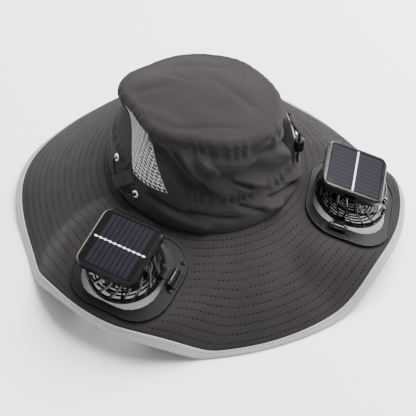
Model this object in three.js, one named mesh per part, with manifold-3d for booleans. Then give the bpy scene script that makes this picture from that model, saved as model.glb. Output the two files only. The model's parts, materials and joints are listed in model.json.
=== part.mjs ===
// Soft sun hat with a wide quilted brim, two mesh vents in its crown and two small fans
// in the brim, each fan under its own solar panel and hinged on a plate riveted to the brim.
// Millimetres, +Z up, front of the hat towards -Y. The brim's edge rests on z = 0.
import * as THREE from 'three';
import { mergeVertices } from 'three/addons/utils/BufferGeometryUtils.js';
import Module from 'manifold-3d';

const wasm = await Module();
wasm.setup();

// Head opening and crown
const HEAD_HALF_WIDTH = 91;
const HEAD_HALF_LENGTH = 99;
const SEAM_HEIGHT = 66;
const CROWN_HEIGHT = 88;
const CROWN_TURN = 7;
const CAP_RISE = 9;
const CAP_ROLL = 8;
const CAP_OFFSET_X = -9;
const CAP_OFFSET_Y = -12;
const CLOTH = 1.6;
const GAP = 0.3;

// Brim and the tape bound round its edge
const BRIM_WIDTH = 116;
const BRIM_KNEE = 0.8;
const BRIM_TURNED_IN = 3;
const BINDING_WIDTH = 8;
const BINDING_CLOTH = 0.8;
const BINDING_GAP = 0.35;
const BINDING_HALF = CLOTH / 2 + BINDING_GAP + BINDING_CLOTH;

// Mesh vents
const VENT_BOTTOM_FRONT = 51;
const VENT_TOP_FRONT = 73;
const VENT_BOTTOM_REAR = 77;
const VENT_TOP_REAR = 108;
const VENT_MARGIN = 0.04;
const VENT_CLOTH = 1.2;
const VENT_HOLES_ACROSS = 4;
const VENT_HOLES_UP = 6;

// Places of the fans: a little nearer to the head than the middle of the brim
const FAN_AZIMUTH = 51;
const FAN_INSET = 4;
const FAN_REACH = HEAD_HALF_WIDTH + BRIM_WIDTH / 2 - FAN_INSET;
const PLATE_FROM_SEAM = 10;

// Mounting plate of a fan, seen from above: it fills the brim's width but for a clearance to
// the crown and to the tape
const PLATE_THICKNESS = 2;
const PLATE_TO_CROWN = 16;
const PLATE_TO_TAPE = 6;
const PLATE_IN = BRIM_WIDTH / 2 - PLATE_TO_CROWN;
const PLATE_OUT = BRIM_WIDTH / 2 - BINDING_WIDTH - PLATE_TO_TAPE;
const PLATE_FREE_SIDE = 46;
const PLATE_HINGE_SIDE = 53;
const PLATE_CORNER = 31;
const PLATE_BORDER = 5.5;
const PLATE_BORDER_OUT = 7;
const PLATE_BORDER_FREE = 8;
const PLATE_BORDER_HINGE = 14;
const PLATE_INNER_CORNER = 27;
const PLATE_LIP = 1.2;
const PLATE_LIP_WIDTH = 1.4;
const RIVET_HEAD = 2.4;
const RIVET_SHANK = 1.1;
const RIVET_INTO_CORNER = 14;

// Fan cage, rotor and hinge
const CAGE_RADIUS = 36;
const CAGE_TOP_RADIUS = 27;
const CAGE_BASE = 3.4;
const CAGE_HEIGHT = 26;
const CAGE_TOP = CAGE_BASE + CAGE_HEIGHT;
const CAGE_LID = 2.4;
const CAGE_RING = 3.5;
const CAGE_RIBS = 11;
const CAGE_SWIRL = 34;
const RIB_WIDTH = 2.6;
const MOTOR_RADIUS = 8;
const MOTOR_HEIGHT = 7;
const SHAFT_RADIUS = 1.5;
const ROTOR_RADIUS = 27;
const ROTOR_HUB = 9;
const ROTOR_HEIGHT = 9;
const ROTOR_BLADES = 5;
const BLADE_THICKNESS = 1.2;
const HINGE_OFFSET = 44.5;
const HINGE_HEIGHT = 8;
const HINGE_ALONG = -8;
const HINGE_BARREL = 3;
const HINGE_PIN = 1.2;
const KNUCKLE_LENGTH = 10;
const LUG = 3;

// Solar panel
const PANEL_SIDE = 60;
const PANEL_THICKNESS = 9;
const PANEL_CORNER = 9;
const PANEL_SHIFT_ASIDE = 1.5;
const CELL_MARGIN = 4;
const CELL_THICKNESS = 1;
const CELL_RECESS = 1.6;
const PORT_WIDTH = 10;
const PORT_HEIGHT = 3.6;
const PORT_DEPTH = 3;
const PORT_RISE = 2.4;

// Draw cord, eyelets, strap loops and cord lock
const CORD_DIAMETER = 2.6;
const EYELET_RADIUS = 3.8;
const EYELET_HOLE = 2;
const LOOP_WIDTH = 12;
const LOOP_CLOTH = 1;
const EYELET_RISE = 0.9;
const LOOP_LIFT = 4.4;
const LOOP_SEAT = 0.7;
const LOCK_RADIUS = 5;
const LOCK_LENGTH = 13;
const LOCK_BEVEL = 1.2;

// Where these sit on the band: azimuths are those of the left side before the crown's turn,
// heights are shares of the band's height there.
const UPPER_EYELET = { azimuth: 95, height: 0.85 };
const LOWER_EYELET = { azimuth: 72, height: 0.56 };
const LOOP_TOP = { azimuth: 77, height: 0.95 };
const LOOP_FOOT = { azimuth: 93, height: 0.16 };
const LOCK = { azimuth: 52, height: 1.25 };
const CORD_ROUTE = [
  { azimuth: 93.6, height: 0.73 },
  { azimuth: 90.5, height: 0.58 },
  { azimuth: 86.5, height: 0.47 },
  { azimuth: 82, height: 0.42 },
  { azimuth: 78, height: 0.42 },
  { azimuth: 74.5, height: 0.48 },
];
const LOCK_CORD = [
  { azimuth: 50.5, height: 0.82 },
  { azimuth: 51.5, height: 0.9 },
];

const FACETS = 16;
const CAGE_FACETS = 20;
const rad = Math.PI / 180;

// Azimuth in degrees from the front, towards +X; slopes in degrees at the seam, at the knee
// and at the edge.
const BRIM_SECTIONS = [
  { azimuth: -180, start: 12, knee: 50, end: 60 },
  { azimuth: -150, start: 18, knee: 42, end: 48 },
  { azimuth: -120, start: 26, knee: 28, end: 30 },
  { azimuth: -90, start: 26, knee: 38, end: 46 },
  { azimuth: -60, start: 17, knee: 17, end: 70 },
  { azimuth: -30, start: 11, knee: 48, end: 66 },
  { azimuth: 0, start: 8, knee: 55, end: 67 },
  { azimuth: 30, start: 17, knee: 38, end: 45 },
  { azimuth: 60, start: 18, knee: 19, end: 56 },
  { azimuth: 90, start: 12, knee: 46, end: 66 },
  { azimuth: 120, start: 20, knee: 47, end: 54 },
  { azimuth: 150, start: 17, knee: 40, end: 46 },
];

// Where the brim is cut wider than its usual width: azimuth, spread in degrees, how much more.
const BRIM_CUTS = [
  { azimuth: -36, spread: 12, more: 6 },
];

// Radii as shares of the head opening's radius there, heights as shares of the crown's height.
const CROWN_SECTIONS = [
  { azimuth: -180, bandRadius: 0.92, bandHeight: 0.34, waistRadius: 0.82, hemRadius: 0.64, hemHeight: 0.86 },
  { azimuth: -150, bandRadius: 0.92, bandHeight: 0.38, waistRadius: 0.83, hemRadius: 0.71, hemHeight: 0.87 },
  { azimuth: -120, bandRadius: 0.93, bandHeight: 0.44, waistRadius: 0.83, hemRadius: 0.86, hemHeight: 0.91 },
  { azimuth: -90, bandRadius: 0.94, bandHeight: 0.48, waistRadius: 0.80, hemRadius: 0.76, hemHeight: 0.92 },
  { azimuth: -60, bandRadius: 0.94, bandHeight: 0.39, waistRadius: 0.84, hemRadius: 0.78, hemHeight: 0.92 },
  { azimuth: -30, bandRadius: 0.90, bandHeight: 0.38, waistRadius: 0.81, hemRadius: 0.73, hemHeight: 0.92 },
  { azimuth: 0, bandRadius: 0.89, bandHeight: 0.32, waistRadius: 0.84, hemRadius: 0.81, hemHeight: 0.92 },
  { azimuth: 30, bandRadius: 0.91, bandHeight: 0.27, waistRadius: 0.86, hemRadius: 0.84, hemHeight: 0.92 },
  { azimuth: 60, bandRadius: 0.94, bandHeight: 0.27, waistRadius: 0.85, hemRadius: 0.75, hemHeight: 0.93 },
  { azimuth: 90, bandRadius: 0.95, bandHeight: 0.30, waistRadius: 0.83, hemRadius: 0.65, hemHeight: 0.92 },
  { azimuth: 120, bandRadius: 0.94, bandHeight: 0.32, waistRadius: 0.83, hemRadius: 0.63, hemHeight: 0.89 },
  { azimuth: 150, bandRadius: 0.93, bandHeight: 0.33, waistRadius: 0.82, hemRadius: 0.62, hemHeight: 0.86 },
];

// Main folds of the crown's wall: each runs from one place to another, azimuths in degrees,
// heights as shares of the crown's height; width is a share of it too, depth of the cap's roll.
const WALL_FOLDS = [
  { from: -56, fromHeight: 0.84, to: -24, toHeight: 0.42, width: 0.08, depth: -0.75 },
  { from: -38, fromHeight: 0.90, to: -4, toHeight: 0.36, width: 0.10, depth: 0.60 },
  { from: -22, fromHeight: 0.82, to: 6, toHeight: 0.74, width: 0.06, depth: 0.55 },
  { from: 10, fromHeight: 0.62, to: 33, toHeight: 0.30, width: 0.10, depth: -0.70 },
  { from: 28, fromHeight: 0.74, to: 44, toHeight: 0.44, width: 0.07, depth: 0.45 },
  { from: 150, fromHeight: 0.80, to: 178, toHeight: 0.42, width: 0.10, depth: -0.50 },
  { from: -150, fromHeight: 0.82, to: -128, toHeight: 0.50, width: 0.09, depth: -0.60 },
];

// Each fan's plate: where it lies, which way its slope faces, the slope, how much lower its
// hinge side is, all in degrees; how far its panel is set towards the crown, as a share of
// the panel's side; and the side that its hinge is on.
const FANS = [
  { name: 'left', azimuth: -FAN_AZIMUTH, facing: -51, slope: 15, lean: 2, panelIn: 0.06, hinge: 1 },
  { name: 'right', azimuth: FAN_AZIMUTH, facing: 55, slope: 16, lean: 1, panelIn: 0.15, hinge: -1 },
];

// Value of a named column at an azimuth, on a smooth closed curve through the rows.
function column(table, name, azimuth) {
  const step = 360 / table.length;
  const place = (((azimuth - table[0].azimuth) % 360) + 360) % 360 / step;
  const row = Math.floor(place);
  const t = place - row;
  const at = (k) => table[(row + k + table.length) % table.length][name];
  const [a, b, c, d] = [at(-1), at(0), at(1), at(2)];
  return b + 0.5 * t * (c - a + t * (2 * a - 5 * b + 4 * c - d + t * (3 * (b - c) + d - a)));
}

function smooth(x) {
  const t = Math.min(1, Math.max(0, x));
  return t * t * (3 - 2 * t);
}

// Radius of the head opening in the direction of an azimuth.
function headRadius(azimuth) {
  const s = Math.sin(azimuth * rad) / HEAD_HALF_WIDTH;
  const c = Math.cos(azimuth * rad) / HEAD_HALF_LENGTH;
  return 1 / Math.hypot(s, c);
}

// Frame of a fan's plate: origin on the brim's middle surface, x down the slope, z off the cloth.
function fanFrame(fan) {
  const out = new THREE.Vector3(Math.sin(fan.azimuth * rad), -Math.cos(fan.azimuth * rad), 0);
  const start = column(BRIM_SECTIONS, 'start', fan.azimuth) * rad;
  const flat = FAN_REACH - headRadius(fan.azimuth) - PLATE_FROM_SEAM * Math.cos(start);
  const origin = out.multiplyScalar(FAN_REACH);
  origin.z = SEAM_HEIGHT - PLATE_FROM_SEAM * Math.sin(start) - flat * Math.tan(fan.slope * rad);
  const turn = new THREE.Matrix4().makeRotationZ((fan.facing - 90) * rad);
  turn.multiply(new THREE.Matrix4().makeRotationY(fan.slope * rad));
  turn.multiply(new THREE.Matrix4().makeRotationX(-fan.lean * fan.hinge * rad));
  return turn.setPosition(origin);
}

const FAN_FRAMES = FANS.map(fanFrame);
const FAN_INVERSES = FAN_FRAMES.map((frame) => frame.clone().invert());

// How much a place on the brim is held flat by a fan's plate: 1 under its rounded outline and
// a margin beyond it, fading to 0 away from it.
function heldFlat(fan, local) {
  const margin = 8;
  const fadeOut = 18;
  const fadeAside = 44;
  const halfX = (PLATE_IN + PLATE_OUT) / 2;
  const halfY = (PLATE_FREE_SIDE + PLATE_HINGE_SIDE) / 2;
  const middleY = fan.hinge * (PLATE_HINGE_SIDE - PLATE_FREE_SIDE) / 2;
  const x = Math.max(Math.abs(local.x - (PLATE_OUT - PLATE_IN) / 2) - halfX + PLATE_CORNER, 0);
  const y = Math.max(Math.abs(local.y - middleY) - halfY + PLATE_CORNER, 0);
  const beyond = Math.hypot(x, y) - PLATE_CORNER - margin;
  const fade = (fadeOut * x + fadeAside * y) / Math.max(x + y, 1);
  return 1 - smooth(beyond / fade);
}

// How far a stretch of cloth reaches out and drops while its slope grows evenly, in radians.
function stretch(slope, growth, length) {
  if (Math.abs(growth) < 1e-6) {
    return [length * Math.cos(slope), length * Math.sin(slope)];
  }
  const last = slope + growth * length;
  return [(Math.sin(last) - Math.sin(slope)) / growth, (Math.cos(slope) - Math.cos(last)) / growth];
}

// Middle surface of the brim with its taped edge, which stays straight across the tape.
function brimPoint(azimuth, along) {
  const tape = BRIM_WIDTH - BINDING_WIDTH;
  if (along <= tape) return openBrimPoint(azimuth, along);
  const edge = openBrimPoint(azimuth, BRIM_WIDTH);
  return openBrimPoint(azimuth, tape).lerp(edge, (along - tape) / BINDING_WIDTH);
}

// Width of the brim's cloth at an azimuth, as a share of its usual width.
function brimShare(azimuth) {
  let width = BRIM_WIDTH;
  for (const cut of BRIM_CUTS) {
    const turn = ((azimuth - cut.azimuth + 540) % 360) - 180;
    width += cut.more * Math.exp(-((turn / cut.spread) ** 2));
  }
  return width / BRIM_WIDTH;
}

// Middle surface of the brim: its slope grows evenly from the seam to the knee, and from
// there to the edge, along the cloth. The plates hold it flat, and it lies between the
// resting surface and the seam.
function openBrimPoint(azimuth, along) {
  const names = ['start', 'knee', 'end'];
  const [start, knee, end] = names.map((name) => column(BRIM_SECTIONS, name, azimuth) * rad);
  const kneeAt = BRIM_KNEE * BRIM_WIDTH;
  const upper = (knee - start) / kneeAt;
  const lower = (end - knee) / (BRIM_WIDTH - kneeAt);
  const [reachA, dropA] = along > 0 ? stretch(start, upper, Math.min(along, kneeAt)) : [along, 0];
  const [reachB, dropB] = stretch(knee, lower, Math.max(along - kneeAt, 0));
  const share = along > 0 ? brimShare(azimuth) : 1;
  const out = new THREE.Vector3(Math.sin(azimuth * rad), -Math.cos(azimuth * rad), 0);
  const point = out.multiplyScalar(headRadius(azimuth) + share * (reachA + reachB));
  point.z = SEAM_HEIGHT - share * (dropA + dropB);
  FANS.forEach((fan, k) => {
    const e = FAN_FRAMES[k].elements;
    const local = point.clone().applyMatrix4(FAN_INVERSES[k]);
    const planeZ = e[14] - ((point.x - e[12]) * e[8] + (point.y - e[13]) * e[9]) / e[10];
    const weight = heldFlat(fan, local) * smooth(along / BRIM_TURNED_IN);
    point.z += (planeZ - point.z) * weight;
  });
  point.z = Math.min(Math.max(point.z, BINDING_HALF), SEAM_HEIGHT);
  return point;
}

// Depth added to the crown's wall by its folds at an azimuth and a height share.
function foldDepth(azimuth, height) {
  let depth = 0;
  for (const fold of WALL_FOLDS) {
    const perDegree = rad * HEAD_HALF_WIDTH / CROWN_HEIGHT;
    const turn = ((azimuth - fold.from + 540) % 360) - 180;
    const runX = (fold.to - fold.from) * perDegree;
    const runY = fold.toHeight - fold.fromHeight;
    const length = Math.hypot(runX, runY);
    const x = turn * perDegree;
    const y = height - fold.fromHeight;
    const along = (x * runX + y * runY) / length;
    const across = (x * runY - y * runX) / length;
    const beyond = Math.max(-along, along - length, 0);
    const bell = Math.exp(-((across / fold.width) ** 2) - (beyond / (1.5 * fold.width)) ** 2);
    depth += fold.depth * CAP_ROLL * bell;
  }
  return depth;
}

// Middle surface of the crown: level 0 the brim's seam, 1 the band's top, 2 the cap's hem,
// 3 the middle of the cap.
function crownPoint(azimuth, level) {
  const head = headRadius(azimuth);
  const bandHeight = column(CROWN_SECTIONS, 'bandHeight', azimuth) * CROWN_HEIGHT;
  const hemHeight = column(CROWN_SECTIONS, 'hemHeight', azimuth) * CROWN_HEIGHT;
  const bandRadius = column(CROWN_SECTIONS, 'bandRadius', azimuth) * head;
  const waistRadius = column(CROWN_SECTIONS, 'waistRadius', azimuth) * head;
  const hemRadius = column(CROWN_SECTIONS, 'hemRadius', azimuth) * head;
  const direction = new THREE.Vector3(Math.sin(azimuth * rad), -Math.cos(azimuth * rad), 0);
  const base = SEAM_HEIGHT + CLOTH / 2 + 2 * GAP;
  let radius;
  let height;
  if (level <= 1) {
    const bulge = Math.sin(level * Math.PI) * 0.02 * head;
    radius = head + (bandRadius - head) * level ** 1.4 + bulge;
    height = bandHeight * level;
  } else if (level <= 2) {
    const t = level - 1;
    const a = (1 - t) * (1 - 2 * t);
    const b = 4 * t * (1 - t);
    const c = t * (2 * t - 1);
    radius = a * bandRadius + b * waistRadius + c * hemRadius;
    height = bandHeight + (hemHeight - bandHeight) * t;
    const share = height / CROWN_HEIGHT;
    radius += foldDepth(azimuth, share) * smooth(4 * t) * smooth(4 * (1 - t));
  } else {
    const t = level - 2;
    const edge = Math.min(1, t * 4);
    const lift = CAP_ROLL * Math.sin(edge * Math.PI / 2);
    const inward = CAP_ROLL * (1 - Math.cos(edge * Math.PI / 2));
    const rest = Math.max(0, (t - 0.25) / 0.75);
    const rim = direction.clone().multiplyScalar(hemRadius - inward);
    const centre = new THREE.Vector3(CAP_OFFSET_X, CAP_OFFSET_Y, 0);
    const point = rim.lerp(centre, rest);
    const middle = CROWN_HEIGHT + CAP_RISE;
    const rimHeight = hemHeight + lift;
    const dome = 1 - (1 - rest) ** 2;
    point.z = base + rimHeight + (middle - rimHeight) * dome;
    return point;
  }
  direction.multiplyScalar(radius);
  direction.z = base + height;
  return direction;
}

// A closed geometry from a flat list of corners and faces.
function geometryFrom(corners, faces) {
  const geometry = new THREE.BufferGeometry();
  geometry.setAttribute('position', new THREE.Float32BufferAttribute(corners, 3));
  geometry.setIndex(faces);
  return facingOut(geometry);
}

// Turns every face round if the closed mesh holds a negative volume.
function facingOut(geometry) {
  const p = geometry.attributes.position;
  const index = geometry.index.array;
  const a = new THREE.Vector3();
  const b = new THREE.Vector3();
  const c = new THREE.Vector3();
  let volume = 0;
  for (let i = 0; i < index.length; i += 3) {
    a.fromBufferAttribute(p, index[i]);
    b.fromBufferAttribute(p, index[i + 1]);
    c.fromBufferAttribute(p, index[i + 2]);
    volume += a.dot(b.clone().cross(c));
  }
  if (volume < 0) {
    for (let i = 0; i < index.length; i += 3) {
      [index[i + 1], index[i + 2]] = [index[i + 2], index[i + 1]];
    }
  }
  return geometry;
}

// Normal of a surface of two parameters, from small steps on either side of a place.
function normalAt(surface, u, v, us, vs) {
  const du = 0.02 * (us[1] - us[0]);
  const dv = 0.02 * (vs[1] - vs[0]);
  const along = surface(u + du, v).sub(surface(u - du, v));
  const up = surface(u, Math.min(v + dv, vs[vs.length - 1])).sub(surface(u, Math.max(v - dv, vs[0])));
  return along.cross(up).normalize();
}

// A sheet of cloth: a surface of two parameters given a wall. Closed round the first one, or
// open with side edges; cells for which hole(i, j) is true are left out, with walls round them.
function sheet(surface, us, vs, wall, closed, hole = () => false) {
  const corners = [];
  const nu = us.length;
  const nv = vs.length;
  for (const side of [0.5, -0.5]) {
    for (let j = 0; j < nv; j += 1) {
      for (let i = 0; i < nu; i += 1) {
        const normal = normalAt(surface, us[i], vs[j], us, vs);
        const point = surface(us[i], vs[j]).addScaledVector(normal, side * wall);
        corners.push(point.x, point.y, point.z);
      }
    }
  }
  const faces = [];
  const at = (side, i, j) => side * nu * nv + j * nu + (closed ? i % nu : i);
  const quad = (a, b, c, d) => faces.push(a, b, c, a, c, d);
  const columns = closed ? nu : nu - 1;
  const open = (i, j) => {
    if (j < 0 || j >= nv - 1) return true;
    if (!closed && (i < 0 || i >= columns)) return true;
    return hole((i + columns) % columns, j);
  };
  for (let j = 0; j < nv - 1; j += 1) {
    for (let i = 0; i < columns; i += 1) {
      if (hole(i, j)) continue;
      quad(at(0, i, j), at(0, i + 1, j), at(0, i + 1, j + 1), at(0, i, j + 1));
      quad(at(1, i, j), at(1, i, j + 1), at(1, i + 1, j + 1), at(1, i + 1, j));
      if (open(i, j - 1)) quad(at(1, i, j), at(1, i + 1, j), at(0, i + 1, j), at(0, i, j));
      if (open(i, j + 1)) quad(at(0, i, j + 1), at(0, i + 1, j + 1), at(1, i + 1, j + 1), at(1, i, j + 1));
      if (open(i - 1, j)) quad(at(0, i, j), at(0, i, j + 1), at(1, i, j + 1), at(1, i, j));
      if (open(i + 1, j)) quad(at(1, i + 1, j), at(1, i + 1, j + 1), at(0, i + 1, j + 1), at(0, i + 1, j));
    }
  }
  return geometryFrom(corners, faces);
}

function range(from, to, count) {
  return Array.from({ length: count }, (_, k) => from + (to - from) * k / (count - 1));
}

function solid(geometry) {
  const bare = geometry.clone();
  for (const name of Object.keys(bare.attributes)) {
    if (name !== 'position') bare.deleteAttribute(name);
  }
  const merged = mergeVertices(bare, 1e-4);
  return new wasm.Manifold(new wasm.Mesh({
    numProp: 3,
    vertProperties: new Float32Array(merged.attributes.position.array),
    triVerts: new Uint32Array(merged.index.array),
  }));
}

function geometryOf(manifold) {
  const mesh = manifold.getMesh();
  const geometry = new THREE.BufferGeometry();
  geometry.setAttribute('position', new THREE.Float32BufferAttribute(mesh.vertProperties, 3));
  geometry.setIndex(Array.from(mesh.triVerts));
  return geometry;
}

function join(...parts) {
  return parts.slice(1).reduce((whole, part) => whole.add(solid(part)), solid(parts[0]));
}

function cloth(color) {
  return new THREE.MeshStandardMaterial({ color, roughness: 0.85, metalness: 0 });
}

function plastic(color, roughness) {
  return new THREE.MeshStandardMaterial({ color, roughness, metalness: 0 });
}

const hat = new THREE.Group();

function addTo(group, name, geometry, material) {
  const mesh = new THREE.Mesh(geometry, material);
  mesh.name = name;
  group.add(mesh);
  return mesh;
}

const greyCloth = cloth(0x4a4645);
const brimCloth = cloth(0x484443);
const tapeCloth = cloth(0xa39e9d);
const meshCloth = cloth(0x858180);
const loopCloth = cloth(0x3c3938);
const cordBlack = cloth(0x141414);
const matteBlack = plastic(0x262625, 0.5);
const glossBlack = plastic(0x111111, 0.22);
const steel = new THREE.MeshStandardMaterial({ color: 0xb9b9b9, roughness: 0.3, metalness: 1 });
const silicon = new THREE.MeshStandardMaterial({ color: 0x22252f, roughness: 0.18, metalness: 0.2 });

// Outline of a fan's plate or of a hole in it, grown outwards by a margin.
function plateOutline(hinge, inner, outer, freeSide, hingeSide, corner) {
  const shape = new THREE.Shape();
  const low = hinge > 0 ? -freeSide : -hingeSide;
  const high = hinge > 0 ? hingeSide : freeSide;
  shape.moveTo(-inner + corner, low);
  shape.lineTo(outer - corner, low);
  shape.absarc(outer - corner, low + corner, corner, -Math.PI / 2, 0, false);
  shape.lineTo(outer, high - corner);
  shape.absarc(outer - corner, high - corner, corner, 0, Math.PI / 2, false);
  shape.lineTo(-inner + corner, high);
  shape.absarc(-inner + corner, high - corner, corner, Math.PI / 2, Math.PI, false);
  shape.lineTo(-inner, low + corner);
  shape.absarc(-inner + corner, low + corner, corner, Math.PI, 1.5 * Math.PI, false);
  return shape;
}

function openingOutline(hinge, margin) {
  return plateOutline(
    hinge,
    PLATE_IN - PLATE_BORDER + margin,
    PLATE_OUT - PLATE_BORDER_OUT + margin,
    PLATE_FREE_SIDE - PLATE_BORDER_FREE + margin,
    PLATE_HINGE_SIDE - PLATE_BORDER_HINGE + margin,
    PLATE_INNER_CORNER + margin,
  );
}

function extrude(shape, from, to, curveSegments = 3) {
  const geometry = new THREE.ExtrudeGeometry(shape, { depth: to - from, bevelEnabled: false, curveSegments });
  geometry.translate(0, 0, from);
  return geometry;
}

// Four rivets: two beside the hinge, the first of them in the plate's inner corner, and two on
// the free side.
function rivetPlaces(hinge) {
  const nearHinge = hinge * (PLATE_HINGE_SIDE - 6);
  const inCorner = hinge * (PLATE_HINGE_SIDE - 8);
  const farSide = -hinge * (PLATE_FREE_SIDE - PLATE_LIP_WIDTH - RIVET_HEAD - GAP);
  return [
    { x: PLATE_CORNER - PLATE_IN - RIVET_INTO_CORNER, y: inCorner },
    { x: 4, y: nearHinge },
    { x: -13, y: farSide },
    { x: 7, y: farSide },
  ];
}

function cylinder(radius, from, to, facets = FACETS) {
  const geometry = new THREE.CylinderGeometry(radius, radius, to - from, facets);
  geometry.rotateX(Math.PI / 2);
  geometry.translate(0, 0, (from + to) / 2);
  return geometry;
}

function box(x0, x1, y0, y1, z0, z1) {
  const geometry = new THREE.BoxGeometry(x1 - x0, y1 - y0, z1 - z0);
  geometry.translate((x0 + x1) / 2, (y0 + y1) / 2, (z0 + z1) / 2);
  return geometry;
}

// Places of the brim's sections: closer together beside the fans than elsewhere.
function brimAzimuths() {
  const beside = 34;
  const [near, far] = [FAN_AZIMUTH - beside, FAN_AZIMUTH + beside];
  return [
    ...range(-near, near, 7).slice(0, -1),
    ...range(near, far, 15).slice(0, -1),
    ...range(far, 360 - far, 18).slice(0, -1),
    ...range(360 - far, 360 - near, 15).slice(0, -1),
  ];
}

function brimLengths() {
  const edge = BRIM_WIDTH - BINDING_CLOTH - BINDING_GAP;
  const tape = BRIM_WIDTH - BINDING_WIDTH;
  return [-BRIM_TURNED_IN, BRIM_TURNED_IN, 0.15 * tape, 0.5 * tape, 0.8 * tape, 0.9 * tape, tape, edge];
}

// The brim, cut through under each fan and for the rivets.
function makeBrim() {
  let brim = solid(sheet(brimPoint, brimAzimuths(), brimLengths(), CLOTH, true));
  FANS.forEach((fan, k) => {
    const depth = 12;
    let cutter = solid(extrude(openingOutline(fan.hinge, 1), -depth, depth));
    for (const place of rivetPlaces(fan.hinge)) {
      const hole = cylinder(RIVET_SHANK + GAP, -depth, depth, 6);
      hole.translate(place.x, place.y, 0);
      cutter = cutter.add(solid(hole));
    }
    const moved = geometryOf(cutter).applyMatrix4(FAN_FRAMES[k]);
    brim = brim.subtract(solid(moved));
  });
  addTo(hat, 'brim', geometryOf(brim), brimCloth);
}

// The tape folded over the brim's edge: a channel section carried round the edge.
function makeBinding() {
  const azimuths = brimAzimuths();
  const lengths = brimLengths();
  const start = lengths[lengths.length - 2];
  const end = lengths[lengths.length - 1];
  const slot = CLOTH / 2 + BINDING_GAP;
  const shoulder = 0.6 * BINDING_HALF;
  const corners = [];
  for (const azimuth of azimuths) {
    const from = brimPoint(azimuth, start);
    const to = brimPoint(azimuth, end);
    const fromNormal = normalAt(brimPoint, azimuth, start + GAP, azimuths, lengths);
    const toNormal = normalAt(brimPoint, azimuth, end, azimuths, lengths);
    const onward = to.clone().sub(brimPoint(azimuth, end - GAP)).normalize();
    const place = (base, normal, off, beyond) => {
      const point = base.clone().addScaledVector(normal, off).addScaledVector(onward, beyond);
      corners.push(point.x, point.y, point.z);
    };
    place(from, fromNormal, BINDING_HALF, 0);
    place(to, toNormal, BINDING_HALF, GAP);
    place(to, toNormal, shoulder, GAP + BINDING_CLOTH);
    place(to, toNormal, -BINDING_HALF, GAP);
    place(from, fromNormal, -BINDING_HALF, 0);
    place(from, fromNormal, -slot, 0);
    place(to, toNormal, -slot, GAP);
    place(to, toNormal, slot, GAP);
    place(from, fromNormal, slot, 0);
  }
  const upperSlotWall = 7;
  const faces = ringFaces(azimuths.length, 9, true, (j) => j === upperSlotWall);
  addTo(hat, 'brim_binding', geometryFrom(corners, faces), tapeCloth);
}

// Faces of a closed section of n corners carried through a row of places, closed or with ends.
// turned(j) says where a strip is split along its other diagonal.
function ringFaces(count, n, closed, turned = () => false) {
  const faces = [];
  const rows = closed ? count : count - 1;
  for (let i = 0; i < rows; i += 1) {
    for (let j = 0; j < n; j += 1) {
      const a = i * n + j;
      const b = i * n + (j + 1) % n;
      const c = ((i + 1) % count) * n + (j + 1) % n;
      const d = ((i + 1) % count) * n + j;
      if (turned(j)) {
        faces.push(a, b, d, b, c, d);
      } else {
        faces.push(a, b, c, a, c, d);
      }
    }
  }
  if (!closed) {
    for (let j = 1; j < n - 1; j += 1) {
      const last = (count - 1) * n;
      faces.push(0, j + 1, j, last, last + j, last + j + 1);
    }
  }
  return faces;
}

// Crown: the band over the brim's seam, the wall in two panels between the vents, the cap.
function ventEdge(side, height, which) {
  const front = VENT_BOTTOM_FRONT + (VENT_TOP_FRONT - VENT_BOTTOM_FRONT) * height;
  const rear = VENT_BOTTOM_REAR + (VENT_TOP_REAR - VENT_BOTTOM_REAR) * height;
  return side * (which === 'front' ? front : rear) + CROWN_TURN;
}

function makeCrown() {
  const around = range(-180, 170, 36);
  const joint = 0.012;
  addTo(hat, 'crown_band', sheet(crownPoint, around, [0, 0.25, 0.6, 1 - joint], CLOTH, true), greyCloth);

  const levels = [1 + joint, 1.25, 1.5, 1.75, 2 - joint];
  const seamTurn = GAP / (HEAD_HALF_WIDTH * rad);
  const panel = (fromSide, fromEdge, toSide, toEdge, turns, columns) => {
    const surface = (share, level) => {
      const height = level - 1;
      const start = ventEdge(fromSide, height, fromEdge) + seamTurn;
      const finish = ventEdge(toSide, height, toEdge) + 360 * turns - seamTurn;
      return crownPoint(start + (finish - start) * share, level);
    };
    return sheet(surface, range(0, 1, columns), levels, CLOTH, false);
  };
  addTo(hat, 'crown_wall_front', panel(-1, 'front', 1, 'front', 0, 21), greyCloth);
  addTo(hat, 'crown_wall_back', panel(1, 'rear', -1, 'rear', 1, 15), greyCloth);

  const across = [0];
  for (let k = 0; k < VENT_HOLES_ACROSS; k += 1) {
    across.push((k + 0.3) / VENT_HOLES_ACROSS, (k + 0.8) / VENT_HOLES_ACROSS);
  }
  across.push(1);
  const up = [1 + joint];
  for (let k = 0; k < VENT_HOLES_UP; k += 1) {
    const from = 1 + VENT_MARGIN;
    const pitch = (1 - 2 * VENT_MARGIN) / VENT_HOLES_UP;
    up.push(from + (k + 0.22) * pitch, from + (k + 0.78) * pitch);
  }
  up.push(2 - joint);
  const isHole = (i, j) => i % 2 === 1 && j % 2 === 1;
  for (const [name, side] of [['left', -1], ['right', 1]]) {
    const surface = (share, level) => {
      const front = ventEdge(side, level - 1, 'front') + side * seamTurn;
      const rear = ventEdge(side, level - 1, 'rear') - side * seamTurn;
      return crownPoint(front + (rear - front) * share, level);
    };
    addTo(hat, `mesh_vent_${name}`, sheet(surface, across, up, VENT_CLOTH, false, isHole), meshCloth);
  }

  const capLevels = [2 + joint, 2.12, 2.25, 2.5];
  addTo(hat, 'crown_cap', capGeometry(around, capLevels), greyCloth);
}

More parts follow.
